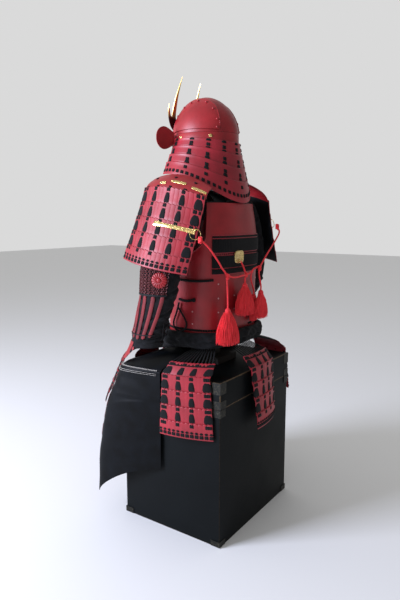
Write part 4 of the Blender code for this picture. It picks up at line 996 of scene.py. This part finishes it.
# Small rivets along the plates' seams; lacquer worn off their heads.
rivet_metal, _, _ = principled("rivet_silvered", Base_Color=linear("c9a0a4"), Metallic=0.75,
                               Roughness=0.35)
spots = [(0.841, 41), (0.794, 41), (0.747, 41), (0.703, 41), (0.797, 17), (0.753, 17),
         (0.749, 77.5), (0.708, 77.5), (0.703, 160), (0.760, 160), (0.820, 160), (0.703, 135),
         (0.760, 135), (0.820, 135), (0.880, 135)]
spots = np.array([(z, side * turn) for z, turn in spots for side in (1, -1)])
loft("cuirass_rivets", surface_domes(torso_place, spots[:, 0], np.radians(spots[:, 1]), 0.0004,
                                     0.0026, 0.0016), rivet_metal)

# A row of black knots along the cuirass's lower edge.
edge_turn = np.radians(np.concatenate([np.arange(-165, -12, 3.4), np.arange(12, 166, 3.4)]))
knots = [(0.6880, turn, 0.0036, 0.0034, 0.0008) for turn in edge_turn]
loft("cuirass_edge_stitches", stitches(torso_place, knots, SQUARE, 0.8), black_braid)

# Back lacing: a red ground row, with cords laced side by side over it in black blocks.
BAND_TURN = math.radians(49.4)
share = np.linspace(-1, 1, 61)[:, None]
ground = np.array([(0.9990, 0.0034), (0.8730, 0.0034), (0.8720, 0.0028), (0.8725, 0.0016),
                   (0.9990, 0.0016), (1.0000, 0.0024)])[None]
loft("back_band_ground", torso_place(ground[..., 0], BAND_TURN * share, ground[..., 1]),
     lame_red, "back_band", smooth=40)


def close_cords(low, high, cords, tooth, base=0.0034, rise=0.0018):
    """Cords side by side between two heights: each a round rib with a rounded upper end."""
    phase = np.array([0.04, 0.22, 0.5, 0.78, 0.96])
    share = ((np.arange(cords)[:, None] + phase).ravel() * 2 / cords - 1)[:, None]
    swell = np.tile(np.sin(np.pi * phase) ** 0.6, cords)[:, None]
    head = high - tooth * (1 - swell)
    profile = np.array([(0.0, -0.6), (0.0, 0.5), (0.04, 1.0), (0.96, 1.0), (1.0, 0.5),
                        (1.0, -0.6)])[None]
    z = low + (head - low) * profile[..., 0]
    out = base + rise * profile[..., 1] * np.where(profile[..., 1] > 0, 0.35 + 0.65 * swell, 1)
    return torso_place(z, BAND_TURN * share, out)


blocks = [(0.9900, 0.9968, 46, 0.0030), (0.9430, 0.9868, 46, 0.0012),
          (0.8932, 0.9325, 46, 0.0012), (0.8735, 0.8905, 46, 0.0010)]
loft("back_band_cords", np.stack([close_cords(*block) for block in blocks]), black_braid,
     smooth=60)
small = [(0.9378, BAND_TURN * s, 0.0017, 0.0026, 0.0034) for s in np.linspace(-0.96, 0.96, 38)]
loft("back_band_stitches", stitches(torso_place, small, DIAMOND, 0.7), black_braid)

# Side ties: braided black cords that close the cuirass on its left, the lower one a toggle
# with a hanging loop.
def beads(along, angle):
    """A round braid of 4.5 mm radius, pinched every 7 mm."""
    return 0.0036 + 0.0009 * np.abs(np.sin(along * np.pi / 0.007)) + 0 * angle


ties = []
for height, first, last in ((0.855, 104, 47.5), (0.788, 102, 75.0)):
    turn = np.radians(np.linspace(first, last, 9))
    route = torso_place(height - 0.004 * np.sin(np.linspace(0, np.pi, 9)), turn, 0.0050)
    ties.append(tube_rings(smooth_route(route, 0.0012), beads))
knob = np.linspace(0, np.pi, 14)
route = torso_place(0.788 + 0.0001 * np.arange(14), np.radians(75.0 - 1.8 * (1 - np.cos(knob))),
                    0.0060)
ties.append(tube_rings(route, lambda along, angle: 0.0012 + 0.0058 * np.sin(knob)[:, None] ** 0.6
                       + 0 * angle))
loop = np.array([(0.759, 102.8), (0.733, 92.8), (0.706, 86.0), (0.684, 92.6), (0.683, 106.0),
                 (0.705, 112.2), (0.741, 106.2), (0.776, 101.0)])
route = torso_place(loop[:, 0], np.radians(loop[:, 1]), 0.0080)
ties.append(tube_rings(smooth_route(route, 0.0012), lambda along, angle: 0.0030 + 0.0003 * np.sin(
    angle * 2 + along * 900)))
for number, rings in enumerate(ties):
    loft(f"side_tie_{number + 1}", rings, black_braid)

# Shoulder straps: padded black leather over the stand's bar, from the back plate to the front.
leather, tree, shader = principled("black_leather", Roughness=0.50, IOR=1.5,
                                   Specular_IOR_Level=0.2)
pores = cells(tree, 420.0)
shade(tree, shader, pores, linear("07080a"), linear("15181c"), 0.0, 0.3)
emboss(tree, shader, pores, 0.4, 0.0005)
angle = np.linspace(0, np.pi, 61)[:, None]
ring = np.array([(0.0, 0.4), (0.03, 0.0), (0.33, 0.0), (0.66, 0.0), (0.97, 0.0), (1.0, 0.4),
                 (1.0, 0.6), (0.97, 1.0), (0.66, 1.0), (0.33, 1.0), (0.03, 1.0), (0.0, 0.6)])[None]
strap_x = 0.062 + 0.050 * ring[..., 0]
depth = 0.004 * ring[..., 1]
z = 1.045 + (1.1475 - depth - 1.045) * np.sin(angle) ** 0.62
wide = np.interp(np.minimum(z + 0.004, 1.105), TORSO_Z, TORSO_WIDE)
deep = np.interp(np.minimum(z + 0.004, 1.105), TORSO_Z, TORSO_DEEP)
y = BODY_Y + (deep * (1 - (strap_x / wide) ** 3) ** (1 / 3) - 0.0034 - depth) * np.cos(angle)
for side, end in SIDES:
    loft(f"shoulder_strap_{end}_leather", xyz(side * strap_x, y, z), leather,
         f"shoulder_strap_{end}")


# Black cotton: a plain weave with fine slubs, dull, greyish where it catches the light.
# About 1 mm to a pair of yarns, by two crossed waves over soft wrinkles.
black_cotton, tree, shader = principled("black_cotton", Roughness=0.90, Sheen_Weight=0.04,
                                        IOR=1.5, Specular_IOR_Level=0.15)
weave = maths(tree, "MULTIPLY", *(add_node(tree, "ShaderNodeTexWave", {
    "Scale": 300.0, "Distortion": 1.2, "Detail Scale": 3.0, "bands_direction": way},
    Vector=place_in(tree)).outputs["Fac"] for way in ("Z", "DIAGONAL")))
slubs = noise(tree, 45.0, 6.0)
shade(tree, shader, slubs, linear("0a0b0c"), linear("1c1d20"), 0.3, 0.75)
emboss(tree, shader, weave, 0.5, 0.0005)
emboss(tree, shader, slubs, 0.6, 0.004)

# Belt: one long cotton cloth wound round the cuirass's lower edge, twisted and creased.
turn = circle(260)[:, None]
angle = circle(36)[None]
crease = 0.0022 * np.sin(9 * turn + 2.4 * angle) * np.maximum(0, np.cos(angle) + 0.6)
crease = crease + 0.0012 * np.sin(17 * turn + 3.2 * angle + 1.3 * np.sin(3 * turn))
crease = crease + 0.0007 * np.sin(31 * turn - 5 * angle + 2 * np.sin(5 * turn + 1))
flat = torso_place(0.700, turn + 0 * angle, 0.0018 + 0.012 * (1 + np.cos(angle)) + crease)
flat[..., 2] = 0.656 + 0.002 * np.sin(2 * turn + 0.6) + (
    0.026 * np.sin(angle) * (1 + 0.04 * np.sin(7 * turn + 1)))
loft("belt_cotton", flat, black_cotton, "belt", join=True, smooth=60)


# Tassets: panels of five lames like the shoulder guards', each hung by black cords from the
# cuirass's lower edge, behind the belt, and resting against the chest.
# Each is: the turn of its cords and half their spread in degrees, how round it bows, stations
# at the first lame's top, the second's and the foot (x, y, z, facing, half width), and teeth.
FRONT_CORNER = (127, 15, 0.005, [
    (0.1490, -0.2150, 0.6000, -55.3, 0.066), (0.1720, -0.2500, 0.5600, -55.3, 0.070),
    (0.2070, -0.3040, 0.4100, -55.3, 0.076)], 14)
FRONT = (162, 13, 0.006, [
    (0.0800, -0.1900, 0.6000, -88, 0.064), (0.0800, -0.2210, 0.5650, -90, 0.067),
    (0.0800, -0.2540, 0.4000, -97, 0.070)], 13)
TASSETS = {
    "tasset_left_rear": (62, 19, 0.010, [
        (0.2280, 0.0910, 0.6000, 21, 0.074), (0.2660, 0.0890, 0.5640, 16, 0.080),
        (0.2675, 0.0900, 0.3600, 13, 0.093)], 12),
    "tasset_right_rear": (62, 19, 0.010, [
        (0.2270, 0.1050, 0.6000, 21, 0.070), (0.2600, 0.1120, 0.5660, 10, 0.074),
        (0.2680, 0.1180, 0.4050, 6, 0.080)], 11),
    "tasset_back": (0, 22, 0.008, [
        (0.0000, 0.1850, 0.6000, 90, 0.080), (-0.0050, 0.2140, 0.5640, 92, 0.082),
        (-0.0250, 0.2270, 0.3500, 97, 0.080)], 11),
    "tasset_left_front": FRONT_CORNER, "tasset_right_front": FRONT_CORNER,
    "tasset_front_left": FRONT, "tasset_front_right": FRONT,
}


def tasset_place(turn, spread, bow, stations, side):
    """Down from the first lame's top (0) to the foot (1), and to -1 up the hanging cords."""
    table = np.array(stations, float)

    def laid(down, share, out):
        x, y, z, facing, half = (np.interp(down, [0.0, 0.2, 1.0], table[:, k])
                                 for k in range(5))
        facing = np.radians(facing)
        push = out + bow * (0.6 - share ** 2)
        return xyz(side * (x - np.sin(facing) * half * share + np.cos(facing) * push),
                   y + np.cos(facing) * half * share + np.sin(facing) * push,
                   z + 0 * push)

    def place(down, share, out):
        down, share, out = np.broadcast_arrays(down, share, out)
        low = laid(np.maximum(down, 0), share, out)
        z = np.interp(down, (-1.0, -0.5), (0.6715, 0.6210))
        hung = torso_place(z, np.radians(turn - spread * share), out - 0.0024) * (side, 1, 1)
        hung = hung + (laid(0 * down, share, out) - hung) * (
            np.maximum(0.0, 1 + down / 0.5)[..., None])
        return np.where((down < -0.011)[..., None], hung, low)
    return place


for name, (turn, spread, bow, stations, teeth) in TASSETS.items():
    place = tasset_place(turn, spread, bow, stations, -1 if "right" in name else 1)
    length = float(stations[0][2] - stations[2][2])
    tops = [0.0, 0.190, 0.390, 0.590, 0.790]
    feet = [0.222, 0.422, 0.622, 0.822, 1.0]
    dressed_panel(name, place, tops, feet, length, teeth, (-0.86, -0.27, 0.27, 0.86), (0.86,), 12,
                  arched=True)
    # Flat braids side by side, from inside the cuirass's edge to holes in the first lame.
    down = np.concatenate([np.linspace(-0.98, -0.5, 8), np.linspace(-0.45, -0.02, 8), [0.05]])
    braids = []
    for share in np.linspace(-0.88, 0.88, 12):
        path = place(down, share + 0.012 * np.sin(9 * down + 5 * share),
                     np.where(down < 0.0, 0.0012, 0.0072))
        braids.append(tube_rings(path, lambda along, angle: 0.0021 / np.hypot(
            np.cos(angle) * 0.62, np.sin(angle)) * 0.8 + 0 * along))
    loft(name + "_hanging_cords", np.stack(braids), black_braid)


# Sleeves: black cotton tubes, padded thinly and creased at the elbow and wrist, with mail, a
# chrysanthemum disc and upright splints sewn on. Each is cut flat as one tapering panel.
SLEEVE = np.array([          # centre x, y, z, half breadth across the arm, half depth along Y
    (0.1480, 0.010, 1.1110, 0.037, 0.062), (0.1830, 0.010, 1.0850, 0.0415, 0.070),
    (0.2224, 0.008, 1.0300, 0.0435, 0.072), (0.2545, 0.005, 0.9600, 0.043, 0.070),
    (0.2740, 0.001, 0.8850, 0.045, 0.071), (0.2790, -0.004, 0.8200, 0.045, 0.066),
    (0.2720, -0.030, 0.7500, 0.045, 0.063), (0.2680, -0.054, 0.6900, 0.046, 0.059),
    (0.2660, -0.069, 0.6420, 0.045, 0.057)])
SLEEVE_FOLDS = [             # station along the sleeve, turn in degrees, depth, spread
    (3.3, 200, 0.005, 0.8), (4.6, 165, 0.006, 0.9), (5.2, 230, 0.005, 0.7),
    (5.9, 140, 0.006, 0.8), (6.6, 250, 0.005, 0.7), (7.3, 180, 0.006, 0.8)]
CREASES = [                  # station, turn in degrees, slant, depth, half length in degrees
    (3.55, 80, 0.25, 0.0030, 60), (4.75, 95, -0.35, 0.0042, 70), (5.10, 60, 0.30, 0.0036, 60),
    (5.45, 110, 0.20, 0.0040, 65), (5.85, 70, -0.30, 0.0044, 75), (6.20, 100, 0.35, 0.0038, 55),
    (6.55, 60, -0.15, 0.0042, 70), (6.95, 115, 0.30, 0.0040, 60), (7.25, 75, -0.25, 0.0040, 65),
    (7.55, 95, 0.15, 0.0034, 75), (5.30, 300, -0.30, 0.0030, 50), (6.40, 290, 0.25, 0.0034, 60),
    (7.10, 310, -0.20, 0.0030, 55), (4.20, 130, 0.20, 0.0030, 50), (2.60, 90, -0.20, 0.0028, 60),
    (1.60, 110, 0.25, 0.0028, 55)]


def sleeve_place(side):
    """On a sleeve: station along it, turn 0 away from the body and 90 degrees to the back."""
    def place(station, turn, out, creased=0.0):
        station, turn, out = np.broadcast_arrays(station, turn, out)
        keys = np.arange(len(SLEEVE))
        centre, ahead, behind = (np.stack([np.interp(station + s, keys, SLEEVE[:, k])
                                           for k in range(3)], axis=-1) for s in (0, .3, -.3))
        along = unit(ahead - behind)
        outward = np.cross(np.array([0.0, 1.0, 0.0]), along)
        outward = outward * np.where(outward[..., :1] < 0, -1, 1)
        breadth = np.interp(station, keys, SLEEVE[:, 3]) + out
        depth = np.interp(station, keys, SLEEVE[:, 4]) + out
        degrees = np.degrees(turn)
        for where, angle, deep, spread in SLEEVE_FOLDS:
            away = (degrees - angle + 180) % 360 - 180
            dip = deep * np.exp(-((station - where) / 0.30) ** 2 - (away / (60 * spread)) ** 2)
            breadth, depth = breadth - dip, depth - dip
        for where, angle, slant, deep, half in CREASES:
            away = (degrees - angle + 180) % 360 - 180
            line = station - where - slant * away / 60
            fold = np.exp(-(line / 0.085) ** 2) - 0.75 * np.exp(-((line - 0.16) / 0.10) ** 2)
            dip = creased * deep * fold * np.exp(-(away / half) ** 2)
            breadth, depth = breadth - dip, depth - dip
        point = centre + outward * (breadth * np.cos(turn))[..., None]
        point = point + np.array([0.0, 1.0, 0.0]) * (depth * np.sin(turn))[..., None]
        return point * (side, 1, 1)
    return place


def mail_rings(place):
    """Mail: small linked rings on the elbow, above the splints, tilted by turns either way."""
    row, column = np.divmod(np.arange(18 * 19), 19)
    station = 3.60 + 1.42 * (row + 0.5) / 18
    turn = np.radians(-76 + 126 * (column + 0.5 * (row % 2)) / 19)
    centre = place(station, turn, 0.0016)
    normal = unit(place(station, turn, 0.0056) - centre)
    level = unit(np.cross(normal, (0.0, 0.0, 1.0)))
    upright = np.cross(level, normal)
    tilt = np.where(np.arange(len(station)) % 2 == 0, 0.5, -0.5)[:, None]
    level = level * np.cos(tilt) + normal * np.sin(tilt)
    round_ring = circle(10)[None, :, None, None]
    round_wire = circle(5)[None, None, :, None]
    arm = np.cos(round_ring) * level[:, None, None] + np.sin(round_ring) * upright[:, None, None]
    axis = np.cross(level, upright)[:, None, None]
    return centre[:, None, None] + arm * (0.0042 + 0.0009 * np.cos(round_wire)) + (
        axis * 0.0009 * np.sin(round_wire))


SPLINTS = ((-75, -52, 5.02, 7.20), (-46, -30, 5.02, 7.35), (-17, -9, 5.02, 7.40),
           (12, 12, 5.02, 7.35), (40, 33, 5.02, 7.20))    # turn at both ends, first, last


def splint_rings(place, above, below, first, last):
    """A narrow iron bar from one station to another, rounded over and at its ends."""
    station = np.linspace(first, last, 40)[:, None]
    middle = above + (below - above) * (station - first) / (last - first)
    section = np.array([(-1, 0.0008), (-1, 0.0026), (-0.8, 0.0034), (0, 0.0042),
                        (0.8, 0.0034), (1, 0.0026), (1, 0.0008)])[None]
    half = math.radians(6.0) * (1 - 0.85 * np.clip(
        (np.abs(station - (first + last) / 2) - 0.46 * (last - first))
        / (0.04 * (last - first)), 0, 1) ** 2)
    return place(station, np.radians(middle) + section[..., 0] * half, section[..., 1])


def strap_round_arm(place, station):
    """A black leather strap across the splints, which holds them."""
    turn = np.radians(np.linspace(-84, 50, 40))[:, None]
    section = np.array([(-1, 0.0012), (-1, 0.0050), (0, 0.0056), (1, 0.0050),
                        (1, 0.0012)])[None]
    return place(station + 0.035 * section[..., 0], turn, section[..., 1])


def loop_rings(place, first, last, low):
    """A tie's loop of black braid, knotted at the wrist, from one turn to another."""
    turn = np.radians([first, first + 6, (first + last) / 2, last - 5, last])
    path = smooth_route(place(np.array([6.4, 6.9, low, 7.0, 6.5]), turn,
                              np.array([0.002, 0.005, 0.006, 0.005, 0.002])), 0.0018)[:48]
    return tube_rings(path, lambda along, angle: 0.0016 + 0 * along * angle)


def disc_rings(place):
    """The elbow disc: a stamped chrysanthemum of sixteen petals with a button in its middle."""
    centre = place(*DISC_AT, 0.0)
    normal = unit(place(*DISC_AT, 0.01) - centre)
    level = unit(np.cross((0.0, 0.0, 1.0), normal))
    upright = np.cross(normal, level)
    angle = circle(160)
    petal = np.abs(np.cos(8 * angle)) ** 0.55
    flat = np.cos(angle)[:, None] * level + np.sin(angle)[:, None] * upright
    rings = []
    for r, lift, relief in (
            (1.00, 0.0013, 0.0), (1.00, 0.0034, 0.0), (0.97, 0.0046, 0.3), (0.80, 0.0062, 1.0),
            (0.55, 0.0076, 0.9), (0.34, 0.0078, 0.4), (0.30, 0.0070, 0.0),
            (0.27, 0.0092, 0.0), (0.20, 0.0104, 0.0), (0.06, 0.0110, 0.0)):
        scallop = 1 - 0.07 * (1 - petal) * min(1.0, max(0.0, (r - 0.5) / 0.4))
        rise = lift + 0.0016 * relief * (petal - 1)
        rings.append(centre + flat * (0.0245 * r * scallop)[:, None] + normal * rise[:, None])
    return np.stack(rings)


def hand_rings(place):
    """The hand guard: a domed red plate over the back of the hand, with a lip at its sides."""
    middle = place(HAND_AT, math.radians(HAND_TURN), 0.0012)
    down = np.linspace(0, 1, 30)[:, None]
    across = np.linspace(-1, 1, 25)
    section = np.concatenate([xyz(across, 0), xyz(across[::-1], 1)])
    wrist = place(HAND_AT, np.radians(HAND_TURN + 34 * section[:, 0]), 0.0020)
    half = 1 - 0.35 * down ** 2
    rise = section[None, :, 1]
    lip = 0.0008 * np.clip((np.abs(section[None, :, 0]) - 0.86) / 0.08, 0, 1) * (rise < 0.5)
    return xyz(middle[0] + (wrist[None, :, 0] - middle[0]) * half,
               middle[1] + (wrist[None, :, 1] - middle[1]) * half + 0.0014 - 0.034 * down ** 1.2
               + 0.0022 * rise - lip,
               wrist[None, :, 2] + 0.010 - 0.062 * down + 0.0010 * rise)


DISC_AT = (4.35, math.radians(25))           # station and turn of the elbow disc
HAND_AT, HAND_TURN = 7.88, 300               # and of the hand guard, in degrees
splint_red = red_urushi("red_urushi_splints", "8c1820", "58101a", 0.40)
lacquered_mail, _, _ = principled("lacquered_mail", Base_Color=linear("5e2426"), Metallic=0.3,
                                  Roughness=0.5)
for side, end in SIDES:
    place = sleeve_place(side)
    turn = circle(112)[None]
    station = np.linspace(0, 8, 160)[:, None]
    skins = np.concatenate([place(station, turn, 0.0, 1.0),
                            place(station[::-1], turn, -0.0022, 1.0)])
    sleeve = loft(f"sleeve_{end}_cotton", skins, black_cotton, f"sleeve_{end}",
                  join=True, smooth=60)
    loft(f"mail_{end}", mail_rings(place), lacquered_mail, join=True)
    loft(f"splints_{end}", np.stack([splint_rings(place, *splint) for splint in SPLINTS]),
         splint_red, smooth=50)
    loft(f"splint_straps_{end}", np.stack([strap_round_arm(place, at) for at in (5.02, 7.05)]),
         leather)
    for number, (first, last, low) in enumerate(((70, 96, 7.45), (100, 124, 7.30))):
        loft(f"wrist_tie_{end}_{number + 1}", loop_rings(place, first, last, low), black_braid)
    loft(f"elbow_disc_{end}_lacquered", disc_rings(place), plate_red,
         f"elbow_disc_{end}", smooth=60)
    loft(f"hand_guard_{end}_lacquered", hand_rings(place), plate_red,
         f"hand_guard_{end}", smooth=50)


# Thigh guard: black leather-faced cloth laid over the lid and down round its front corners,
# quilted in dashed white thread near its top, with small red plates below. The cloth at the
# corners is real. Its side part, which runs back along the chest's side, is a dark sheet laid
# over the flap's cast shadow there: painted shadow.
APRON_ROWS = np.array([      # z at the two ends, z at the corner, reach and shift of the fold
    (0.6080, 0.6080, 0.3050, 0.0814), (0.5830, 0.5830, 0.3050, 0.0814),
    (0.5560, 0.5560, 0.3050, 0.0814), (0.5480, 0.5470, 0.3050, 0.0814),
    (0.5150, 0.5100, 0.3180, 0.0790), (0.4700, 0.4500, 0.3410, 0.0760),
    (0.4400, 0.4050, 0.3570, 0.0730), (0.3600, 0.3050, 0.3770, 0.0710),
    (0.2800, 0.1900, 0.3895, 0.0700), (0.2100, 0.0730, 0.3935, 0.0688)])
APRON_FACING = math.radians(-55.3)
# The side end: the cloth between the corner and here lies where the flap casts its shadow on the
# chest's side, a dark sheet standing in for painted shadow.
APRON_SIDE_ON_PAINTED_SHADOW, APRON_FRONT = np.array((0.2465, -0.030)), np.array((0.0100, -0.2090))
APRON_FOLD = 0.30


def apron_place(side):
    """On an apron: row along the table, share from the chest's side (-1) to its front (1)."""
    def place(row, share, out):
        row, share, out = np.broadcast_arrays(row, share, out)
        keys = np.arange(len(APRON_ROWS))
        end_z, corner_z, reach, shift = (np.interp(row, keys, APRON_ROWS[:, k])
                                         for k in range(4))
        facing = np.array([math.cos(APRON_FACING), math.sin(APRON_FACING)])
        beside = np.array([-facing[1], facing[0]])
        fold = facing * reach[..., None] + beside * shift[..., None]
        ease = math.sqrt(1 + APRON_FOLD ** 2) - 1

        def ramp(value):
            return ((np.sqrt(value ** 2 + APRON_FOLD ** 2) + value - ease) / 2)[..., None]

        zero = ramp(np.zeros(1))[0]
        corner = (fold - zero * (APRON_SIDE_ON_PAINTED_SHADOW + APRON_FRONT)) / (1 - 2 * zero)
        flat = corner + (APRON_SIDE_ON_PAINTED_SHADOW - corner) * ramp(-share) + (
            APRON_FRONT - corner) * ramp(share)
        z = blend(end_z, corner_z, (1 - np.abs(share)) ** 1.6)
        turn = np.radians(-5 - 80 * (share + 1) / 2)
        inner = xyz(0.150 * np.cos(turn), BODY_Y + 0.105 * np.sin(turn))
        part = np.interp(row, [0, 1, 2, 3], [0.0, 0.45, 0.93, 1.0])[..., None]
        hung = np.clip(row - 2, 0, 1)
        wave = 0.003 * (1 + np.sin(7.5 * share + 0.5)) * np.maximum(row - 3, 0) / 6 * (
            1 - np.abs(share)) ** 0.5
        away = unit(flat - np.array([0.10, -0.08]))
        flat = blend(inner, flat, part) + away * ((out * hung + wave)[..., None])
        z = z + out * np.clip(1 - (row - 2), 0, 1) + 0.4 * out * (
            np.clip(1 - np.abs(row - 3), 0, 1))
        return xyz(side * flat[..., 0], flat[..., 1], z)
    return place


sheen_leather, tree, shader = principled("sheen_leather", Roughness=0.45, IOR=1.5,
                                         Specular_IOR_Level=0.10)
scuffs = noise(tree, 26.0, 7.0)
shade(tree, shader, scuffs, linear("050607"), linear("0b0e12"), 0.32, 0.72)
emboss(tree, shader, scuffs, 0.5, 0.0015)
white_thread, _, _ = principled("white_thread", Base_Color=linear("cfcac2"), Roughness=0.8)

for side, end in SIDES:
    place = apron_place(side)
    row = np.linspace(0, 9, 116)

    def rippled(rows, share, out):
        lift = 0.0006 * np.sin(5.0 * rows + 6 * share) * np.clip(rows - 3, 0, 1)
        for at, slant in ((3.6, 0.10), (4.9, -0.12), (6.2, 0.08), (7.6, -0.10)):
            lift = lift + 0.0016 * np.exp(-((rows - at - slant * 6 * share) / 0.22) ** 2) * (
                np.cos(share * np.pi / 2) ** 0.5)
        return place(rows, share, out + lift)

    share = np.linspace(-1, 1, 86)[:, None]
    outer = rippled(row[None], share, 0.0022)
    inner = place(row[None, ::-1], share, 0.0)
    cloth = loft(f"thigh_guard_{end}_leather", np.concatenate([outer, inner], axis=1),
                 sheen_leather, f"thigh_guard_{end}", smooth=60)

    # Running stitches in two pairs of rows, a white dash 5 mm long every 9 mm.
    dashes = [(r, s, 0.0025, 0.0006, 0.0048) for r, count in (
        (2.60, 34), (2.75, 34), (3.20, 38), (3.35, 38)) for s in np.linspace(-0.92, 0.10, count)]
    loft(f"thigh_quilting_{end}", stitches(place, dashes, DIAMOND, 0.5), white_thread)

    # Five rows of small lacquered plates, sewn on over the thigh.
    plates = [(row + 0.18, s, 0.0180, 0.0260, 0.0046) for row in np.linspace(5.6, 8.2, 5)
              for s in np.linspace(0.16, 0.86, 6)]
    loft(f"thigh_plates_{end}", stitches(place, plates, SQUARE * (0.98, 1.0), 1.3), splint_red,
         smooth=50)


# Back fitting: a gilt plate on the laced band, cut with scrolls, that the centre cord hangs
# from by a small ring.
PLATE_Z, PLATE_TURN = 0.926, 0.207
profile = [(0.0053, 1.0), (0.0068, 1.0), (0.0074, 0.95), (0.0074, 0.80), (0.0068, 0.76),
           (0.0068, 0.20)]
outline = circle(96)
squarish = (np.abs(np.cos(outline)) ** 8 + np.abs(np.sin(outline)) ** 8) ** (-1 / 8)
notch = 1 - 0.06 * np.exp(-((np.abs(np.sin(2 * outline)) - 1) / 0.10) ** 2)
reach = squarish * notch
rings = np.stack([torso_place(PLATE_Z + 0.0205 * reach * np.sin(outline) * part,
                              PLATE_TURN + 0.150 * reach * np.cos(outline) * part, out)
                  for out, part in profile])
loft("knot_plate_gilt", rings, gilt_copper, "knot_plate", smooth=40)
turn = circle(40)
middle = np.array((0.036, 0.1490, 0.9120))
path = middle + xyz(0.0055 * np.sin(turn), 0.0015 * np.cos(turn), -0.0055 * np.cos(turn))
small_angle = circle(10)[None, :, None]
arm = (path - middle) / 0.0057
ring_points = path[:, None] + 0.0010 * (np.cos(small_angle) * arm[:, None]
                                        + np.sin(small_angle) * np.array([0.0, 1.0, 0.0]))
loft("knot_plate_ring", ring_points, gilt_copper, join=True)
